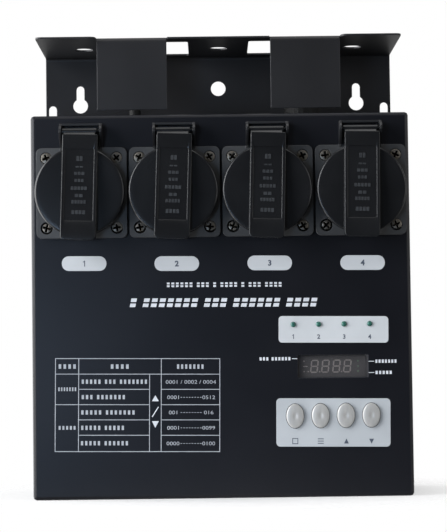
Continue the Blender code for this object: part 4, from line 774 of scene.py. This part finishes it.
for number, (x, z) in enumerate(PILLS, start=1):
    half, rise = PILL_HALF
    pill = label_plate((x - half, x + half, z - rise, z + rise), PILL_CORNER)
    figure = bold_figure(number, 3.2, (x, z))
    print_on(f"channel_plate_{number}", [pill], LABEL_INK, (x, z), PILL_TURN)
    print_on(f"channel_figure_{number}", figure, FIGURE_INK, (x, z), PILL_TURN)

lamp_plate = label_plate((30.7, 90.3, 83.2, 97.6), 2.0)
print_on("lamp_plate", [lamp_plate], LABEL_INK, LAMP_PRINT)
lamp_figures = [part for i, x in enumerate(LAMP_X) for part in bold_figure(i + 1, 2.5, (x, 86.5), 0.025)]
print_on("lamp_figures", lamp_figures, FIGURE_INK, LAMP_PRINT)
button_plate = label_plate((28.8, 90.6, 27.0, 53.1), 2.2)
print_on("button_plate", [button_plate], BUTTON_LABEL_INK, BUTTON_PRINT)

up_arrow = polygon([(65.4, 28.7), (68.0, 28.7), (66.7, 31.4)], face=FIGURE_FACE)
down_arrow = polygon([(79.0, 31.3), (80.3, 28.6), (81.6, 31.3)], face=FIGURE_FACE)
square = frame_lines(37.6, 40.4, 28.6, 31.4, 0.4)
lines = [bar((51.2, z), (54.4, z), 0.45) for z in (28.8, 30.0, 31.2)]
strokes = [moved(part, (0, 0, MARK_LIFT)) for part in square + lines]
print_on("button_marks", [up_arrow, down_arrow, *strokes], FIGURE_INK, BUTTON_PRINT)

title = letter_blocks(-50.1, 52.2, 103.4, 108.1, (1, 7, 3, 6, 4), slant=0.22, fill=0.7)
print_on("title_blocks", title, PANEL_INK, TITLE_CENTRE, TITLE_TURN)
caption = letter_blocks(-30.1, 33.1, 114.2, 116.7, (6, 3, 1, 4, 1, 3, 4))
print_on("caption_blocks", caption, PANEL_INK, CAPTION_CENTRE, CAPTION_TURN)

table = frame_lines(TABLE_LEFT, TABLE_RIGHT, TABLE_BOTTOM, TABLE_TOP, TABLE_LINE)
columns = ((WORD_COLUMN, TABLE_TOP), (ARROW_COLUMN, TABLE_HEAD), (VALUE_COLUMN, TABLE_TOP))
table += [bar((x, TABLE_BOTTOM), (x, top), TABLE_LINE, face=CROSSING_FACE) for x, top in columns]
levels = [(TABLE_LEFT, TABLE_RIGHT, TABLE_HEAD), (TABLE_LEFT, ARROW_COLUMN, GROUP_ROW)]
levels += [(WORD_COLUMN, ARROW_COLUMN, z) for z in TABLE_ROWS if z != GROUP_ROW]
levels += [(VALUE_COLUMN, TABLE_RIGHT, z) for z in TABLE_ROWS]
table += [bar((left, z), (right, z), TABLE_LINE) for left, right, z in levels]
print_on("table_lines", table, TABLE_INK, TABLE_CENTRE)

# Each row of blocks: its left and right ends, its middle, the letters in its words, its height.
words = []
for left, right, centre, letters, tall in (
    (-89.6, -79.1, 71.6, (4,), 2.4), (-61.4, -50.4, 71.6, (4,), 2.4), (-25.4, -10.0, 71.6, (7,), 2.4),
    (-89.5, -79.1, 59.3, (7,), 2.0), (-77.0, -40.6, 63.4, (5, 3, 7), 2.3),
    (-77.0, -52.5, 55.1, (3, 7), 2.3), (-89.3, -79.2, 38.5, (5,), 2.0),
    (-77.2, -47.2, 46.8, (5, 7), 2.3), (-77.2, -53.0, 38.5, (5, 5), 2.3), (-77.3, -50.8, 30.2, (5, 6), 2.3),
):
    words += letter_blocks(left, right, centre - tall / 2, centre + tall / 2, letters,
                           fill=0.52, split=False)
print_on("table_blocks", words, TABLE_INK, TABLE_CENTRE)

values = [numerals("0001 / 0002 / 0004", VALUE_TALL, (-17.4, 63.3), stretch=VALUE_STRETCH)]
ranges = ((55.0, "0001", "0512"), (46.8, "001", "016"), (38.5, "0001", "0099"), (30.1, "0000", "0100"))
for z, *ends in ranges:
    for x, text in zip((LOW_VALUE_X, HIGH_VALUE_X), ends):
        values.append(numerals(text, VALUE_TALL, (x, z), stretch=VALUE_STRETCH))
    values += [bar((x, z), (x + 0.8, z), 0.3) for x in np.arange(-22.9, -12.0, 1.5)]
print_on("table_values", values, TABLE_INK, TABLE_CENTRE)

arrows = [
    polygon([(-38.4, 52.9), (-34.7, 52.9), (-36.6, 56.1)]),
    bar((-38.3, 44.4), (-34.9, 49.8), 0.5),
    polygon([(-38.4, 42.1), (-34.7, 42.1), (-36.6, 38.5)]),
]
print_on("table_arrows", arrows, PANEL_INK, TABLE_CENTRE)

# Bare blocks beside the display, each with a short line that leads to it.
leader = 0.35
callouts = [
    *letter_blocks(19.8, 37.2, 73.8, 75.6, (3, 6), split=False),
    bar((37.7, 74.7), (40.5, 74.7), leader),
    bar((79.2, 73.0), (82.3, 73.0), leader),
    *letter_blocks(82.6, 94.7, 72.1, 73.9, (7,), split=False),
    bar((79.2, 66.9), (82.3, 66.9), leader),
    *letter_blocks(82.6, 92.1, 66.0, 67.8, (5,), split=False),
]
print_on("callout_blocks", callouts, PANEL_INK, CALLOUT_CENTRE, CALLOUT_TURN)


# Display ----------------------------------------------------------------------------------------

def segment(start, end, width):
    """One segment of a digit: a long hexagon with pointed ends between two points."""
    start, end = np.asarray(start, dtype=float), np.asarray(end, dtype=float)
    along = (end - start) / np.linalg.norm(end - start)
    aside = np.array([-along[1], along[0]]) * width / 2
    tip = along * width / 2
    outline = [start, start + tip - aside, end - tip - aside, end, end - tip + aside, start + tip + aside]
    return polygon(outline, MODULE_FACE - SEGMENT_ROOT, MODULE_FACE + SEGMENT_RISE)


def slanted_digit(centre, tall=6.4, wide=3.5, width=0.72, lean=0.12, gap=0.12):
    """Seven unlit segments of one digit, leaning to the right."""
    half_w, half_t = wide / 2, tall / 2
    corners = {(i, j): np.array([centre[0] + i * half_w + lean * j * half_t, centre[1] + j * half_t])
               for i in (-1, 1) for j in (-1, 0, 1)}
    runs = [((-1, 1), (1, 1)), ((-1, 0), (1, 0)), ((-1, -1), (1, -1)),
            ((-1, 0), (-1, 1)), ((1, 0), (1, 1)), ((-1, -1), (-1, 0)), ((1, -1), (1, 0))]
    parts = []
    for a, b in runs:
        start, end = corners[a], corners[b]
        along = (end - start) / np.linalg.norm(end - start) * gap
        parts.append(segment(start + along, end - along, width))
    return parts


def module_dot(across, up, radius=0.42):
    """Round unlit dot on the display module's face."""
    top, root = MODULE_FACE + SEGMENT_RISE, MODULE_FACE - SEGMENT_ROOT
    profile = [(0, top), (radius, top), (radius, root), (0, root)]
    return moved(turned(profile, 20), (across, up, 0))


def surround_plate(left, right, bottom, top):
    """One plate of the frame round the digits, its sides measured from the display's centre."""
    box = (DISPLAY_X + left, DISPLAY_X + right, DISPLAY_Z + bottom, DISPLAY_Z + top)
    return plate(box, 0.1, SURROUND_FOOT, SURROUND_FACE)


wide, tall = SURROUND_OUTER
narrow, low = SURROUND_INNER
surround = [
    surround_plate(-wide, -narrow, -tall, tall),
    surround_plate(narrow, wide, -tall, tall),
    surround_plate(-SURROUND_SPAN, SURROUND_SPAN, low, tall),
    surround_plate(-SURROUND_SPAN, SURROUND_SPAN, -tall, -low),
]
piece("display_surround", [on_panel(part) for part in surround], MODULE_EPOXY)

# Digits, the points between them, and the dots and dash of the sign at the left.
digits = [part for x in DIGIT_X for part in slanted_digit((x, DISPLAY_Z))]
digits += [module_dot(x, 67.5) for x in POINT_X]
digits += [module_dot(44.4, 73.4), module_dot(44.4, 67.7), module_dot(46.6, 67.7)]
digits.append(segment((43.8, DISPLAY_Z), (46.4, DISPLAY_Z), 0.6))
piece("unlit_segments", [on_panel(part) for part in digits], SEGMENT_RESIN)
status = [on_panel(module_dot(73.7, z, 0.5)) for z in (73.2, 70.4, 67.7)]
piece("status_dots", status, STATUS_RESIN)


# CAD nodes keep their shapes and take the finishes ---------------------------------------------

def dress(finish, *names):
    """Gives CAD nodes a finish through their objects' material slots."""
    for name in names:
        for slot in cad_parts[name].material_slots:
            slot.material = finish


dress(COVER_COAT, "front_cover")
dress(PLATE_COAT, "back_plate")
for number in range(1, len(SOCKET_X) + 1):
    dress(SOCKET_PLASTIC, f"socket_body_{number}")
    dress(PIN_STEEL, f"hinge_pin_{number}")
    dress(CLIP_BRASS, f"earth_clip_{number}")
dress(WINDOW_ACRYLIC, "display_window")
dress(MODULE_EPOXY, "display_module")
dress(BOARD_MASK, "control_board", "power_board")
dress(SINK_ALUMINIUM, "heatsink")
dress(CORE_VARNISH, "transformer")
# Breaker and gland take the near-black rubber: painted shade under the flaps.
dress(SHADED_BLACK_RUBBER, "breaker_body", "breaker_button", "cable_gland", "gland_nut")
dress(NYLON_AND_GAP_SHADE, "dmx_in_socket", "dmx_out_socket")


# Studio -----------------------------------------------------------------------------------------

def look(obj, place, forward, right):
    """Puts a camera or a lamp at a place, facing forward, with its own right side along right."""
    forward = np.asarray(forward, dtype=float) / np.linalg.norm(forward)
    right = np.asarray(right, dtype=float)
    right = right - forward * (right @ forward)
    right /= np.linalg.norm(right)
    up = np.cross(right, forward)
    turn = np.eye(4)
    turn[:3, 0], turn[:3, 1], turn[:3, 2], turn[:3, 3] = right, up, -forward, place
    obj.matrix_world = Matrix(turn.tolist())


# Camera as fitted to the picture: place in millimetres, the way it faces and its right side.
CAMERA_PLACE = (-5.43, -1071.31, 75.0)
CAMERA_FORWARD = (0.00649, 0.99877, 0.04908)
CAMERA_RIGHT = (0.9999, -0.00588, -0.01268)
camera = bpy.data.objects.new("camera", bpy.data.cameras.new("camera"))
camera.data.lens = 128.31
camera.data.sensor_width = 36.0
camera.data.clip_start = 0.05
bpy.context.scene.collection.objects.link(camera)
look(camera, np.array(CAMERA_PLACE) * MM, CAMERA_FORWARD, CAMERA_RIGHT)
bpy.context.scene.camera = camera


def softbox(name, place, aim, size, power, tint):
    """Rectangular area lamp: place, point aimed at and size in metres, power in watts."""
    lamp = bpy.data.lights.new(name, "AREA")
    lamp.shape = "RECTANGLE"
    lamp.size, lamp.size_y = size
    lamp.energy = power
    lamp.color = linear(tint)[:3]
    holder = bpy.data.objects.new(name, lamp)
    bpy.context.scene.collection.objects.link(holder)
    forward = np.asarray(aim, dtype=float) - np.asarray(place, dtype=float)
    look(holder, place, forward, np.cross(forward, (0, 0, 1)))


softbox("left_softbox", (-1.3, -0.9, 0.65), (0, 0, 0.12), (0.9, 1.1), 19, "#f4f8ff")
softbox("overhead_softbox", (0.1, -0.25, 1.3), (0, 0, 0.1), (1.2, 1.2), 7, "#ffffff")
softbox("right_fill", (1.4, -1.0, 0.5), (0, 0, 0.12), (1.0, 1.2), 7, "#ffffff")
softbox("front_window", (-0.26, -0.95, 0.06), (0, 0, 0.09), (0.14, 0.16), 0.85, "#c0dcff")

# White surroundings: full white where the camera sees them; as light on the pack, dim in front,
# brighter behind and brightest on the left, where they draw light lines along the left edges.
world = bpy.data.worlds.new("studio")
world.use_nodes = True
bpy.context.scene.world = world
world.node_tree.nodes.clear()
heading = add(world.node_tree, "TexCoord").outputs["Generated"]
split = add(world.node_tree, "SeparateXYZ", {"Vector": heading})
behind = add(world.node_tree, "MapRange", {
    "Value": split.outputs["Y"], "From Min": -0.1, "From Max": 0.8, "To Min": 0.05, "To Max": 0.5,
}).outputs["Result"]
aside = add(world.node_tree, "MapRange", {
    "Value": split.outputs["X"], "From Min": -0.55, "From Max": -0.9, "To Min": 0.0, "To Max": 5.0,
}).outputs["Result"]
glow = add(world.node_tree, "Math", {0: behind, 1: aside}, operation="ADD").outputs["Value"]
seen = add(world.node_tree, "LightPath").outputs["Is Camera Ray"]
shown = add(world.node_tree, "Math", {0: seen, 1: glow}, operation="MAXIMUM").outputs["Value"]
backdrop = add(world.node_tree, "Background", {"Color": (1, 1, 1, 1), "Strength": shown})
add(world.node_tree, "OutputWorld", {"Surface": backdrop.outputs["Background"]})

# Matt white floor that fades away with distance, so that no horizon shows, and is clear when seen
# from below.
floor_paint = bpy.data.materials.new("matt_white_floor")
floor_paint.use_nodes = True
tree = floor_paint.node_tree
tree.nodes.clear()
spot = add(tree, "TexCoord").outputs["Object"]
distance = add(tree, "VectorMath", {0: spot}, operation="LENGTH").outputs["Value"]
fade = add(tree, "MapRange", {
    "Value": distance, "From Min": 0.04, "From Max": 0.17, "To Min": 0.0, "To Max": 1.0,
})
paint = add(tree, "BsdfPrincipled", {
    "Base Color": linear("#fafafa"), "Roughness": 0.9, "Specular IOR Level": 0.1,
})
clear = add(tree, "BsdfTransparent")
below = add(tree, "NewGeometry").outputs["Backfacing"]
gone = add(tree, "Math", {0: fade.outputs["Result"], 1: below}, operation="MAXIMUM").outputs["Value"]
blend = add(tree, "MixShader", {0: gone, 1: paint.outputs["BSDF"], 2: clear.outputs["BSDF"]})
add(tree, "OutputMaterial", {"Surface": blend.outputs["Shader"]})

# The floor is a disc of rings; its faces are turned over so that they look up.
FLOOR_RADIUS = 2.6
FLOOR_RINGS = 14
FLOOR_STEPS = 96
radius = np.linspace(0, FLOOR_RADIUS, FLOOR_RINGS)[:, None]
angle = np.linspace(0, FULL_TURN, FLOOR_STEPS, endpoint=False)
level = np.zeros((FLOOR_RINGS, FLOOR_STEPS))
disc, quads = grid(np.stack([radius * np.cos(angle), radius * np.sin(angle), level], axis=-1))
floor_mesh = bpy.data.meshes.new("floor")
floor_mesh.from_pydata(disc, [], quads[:, ::-1].tolist())
floor_mesh.materials.append(floor_paint)
floor = bpy.data.objects.new("floor", floor_mesh)
bpy.context.scene.collection.objects.link(floor)

bpy.context.scene.view_settings.view_transform = "Standard"
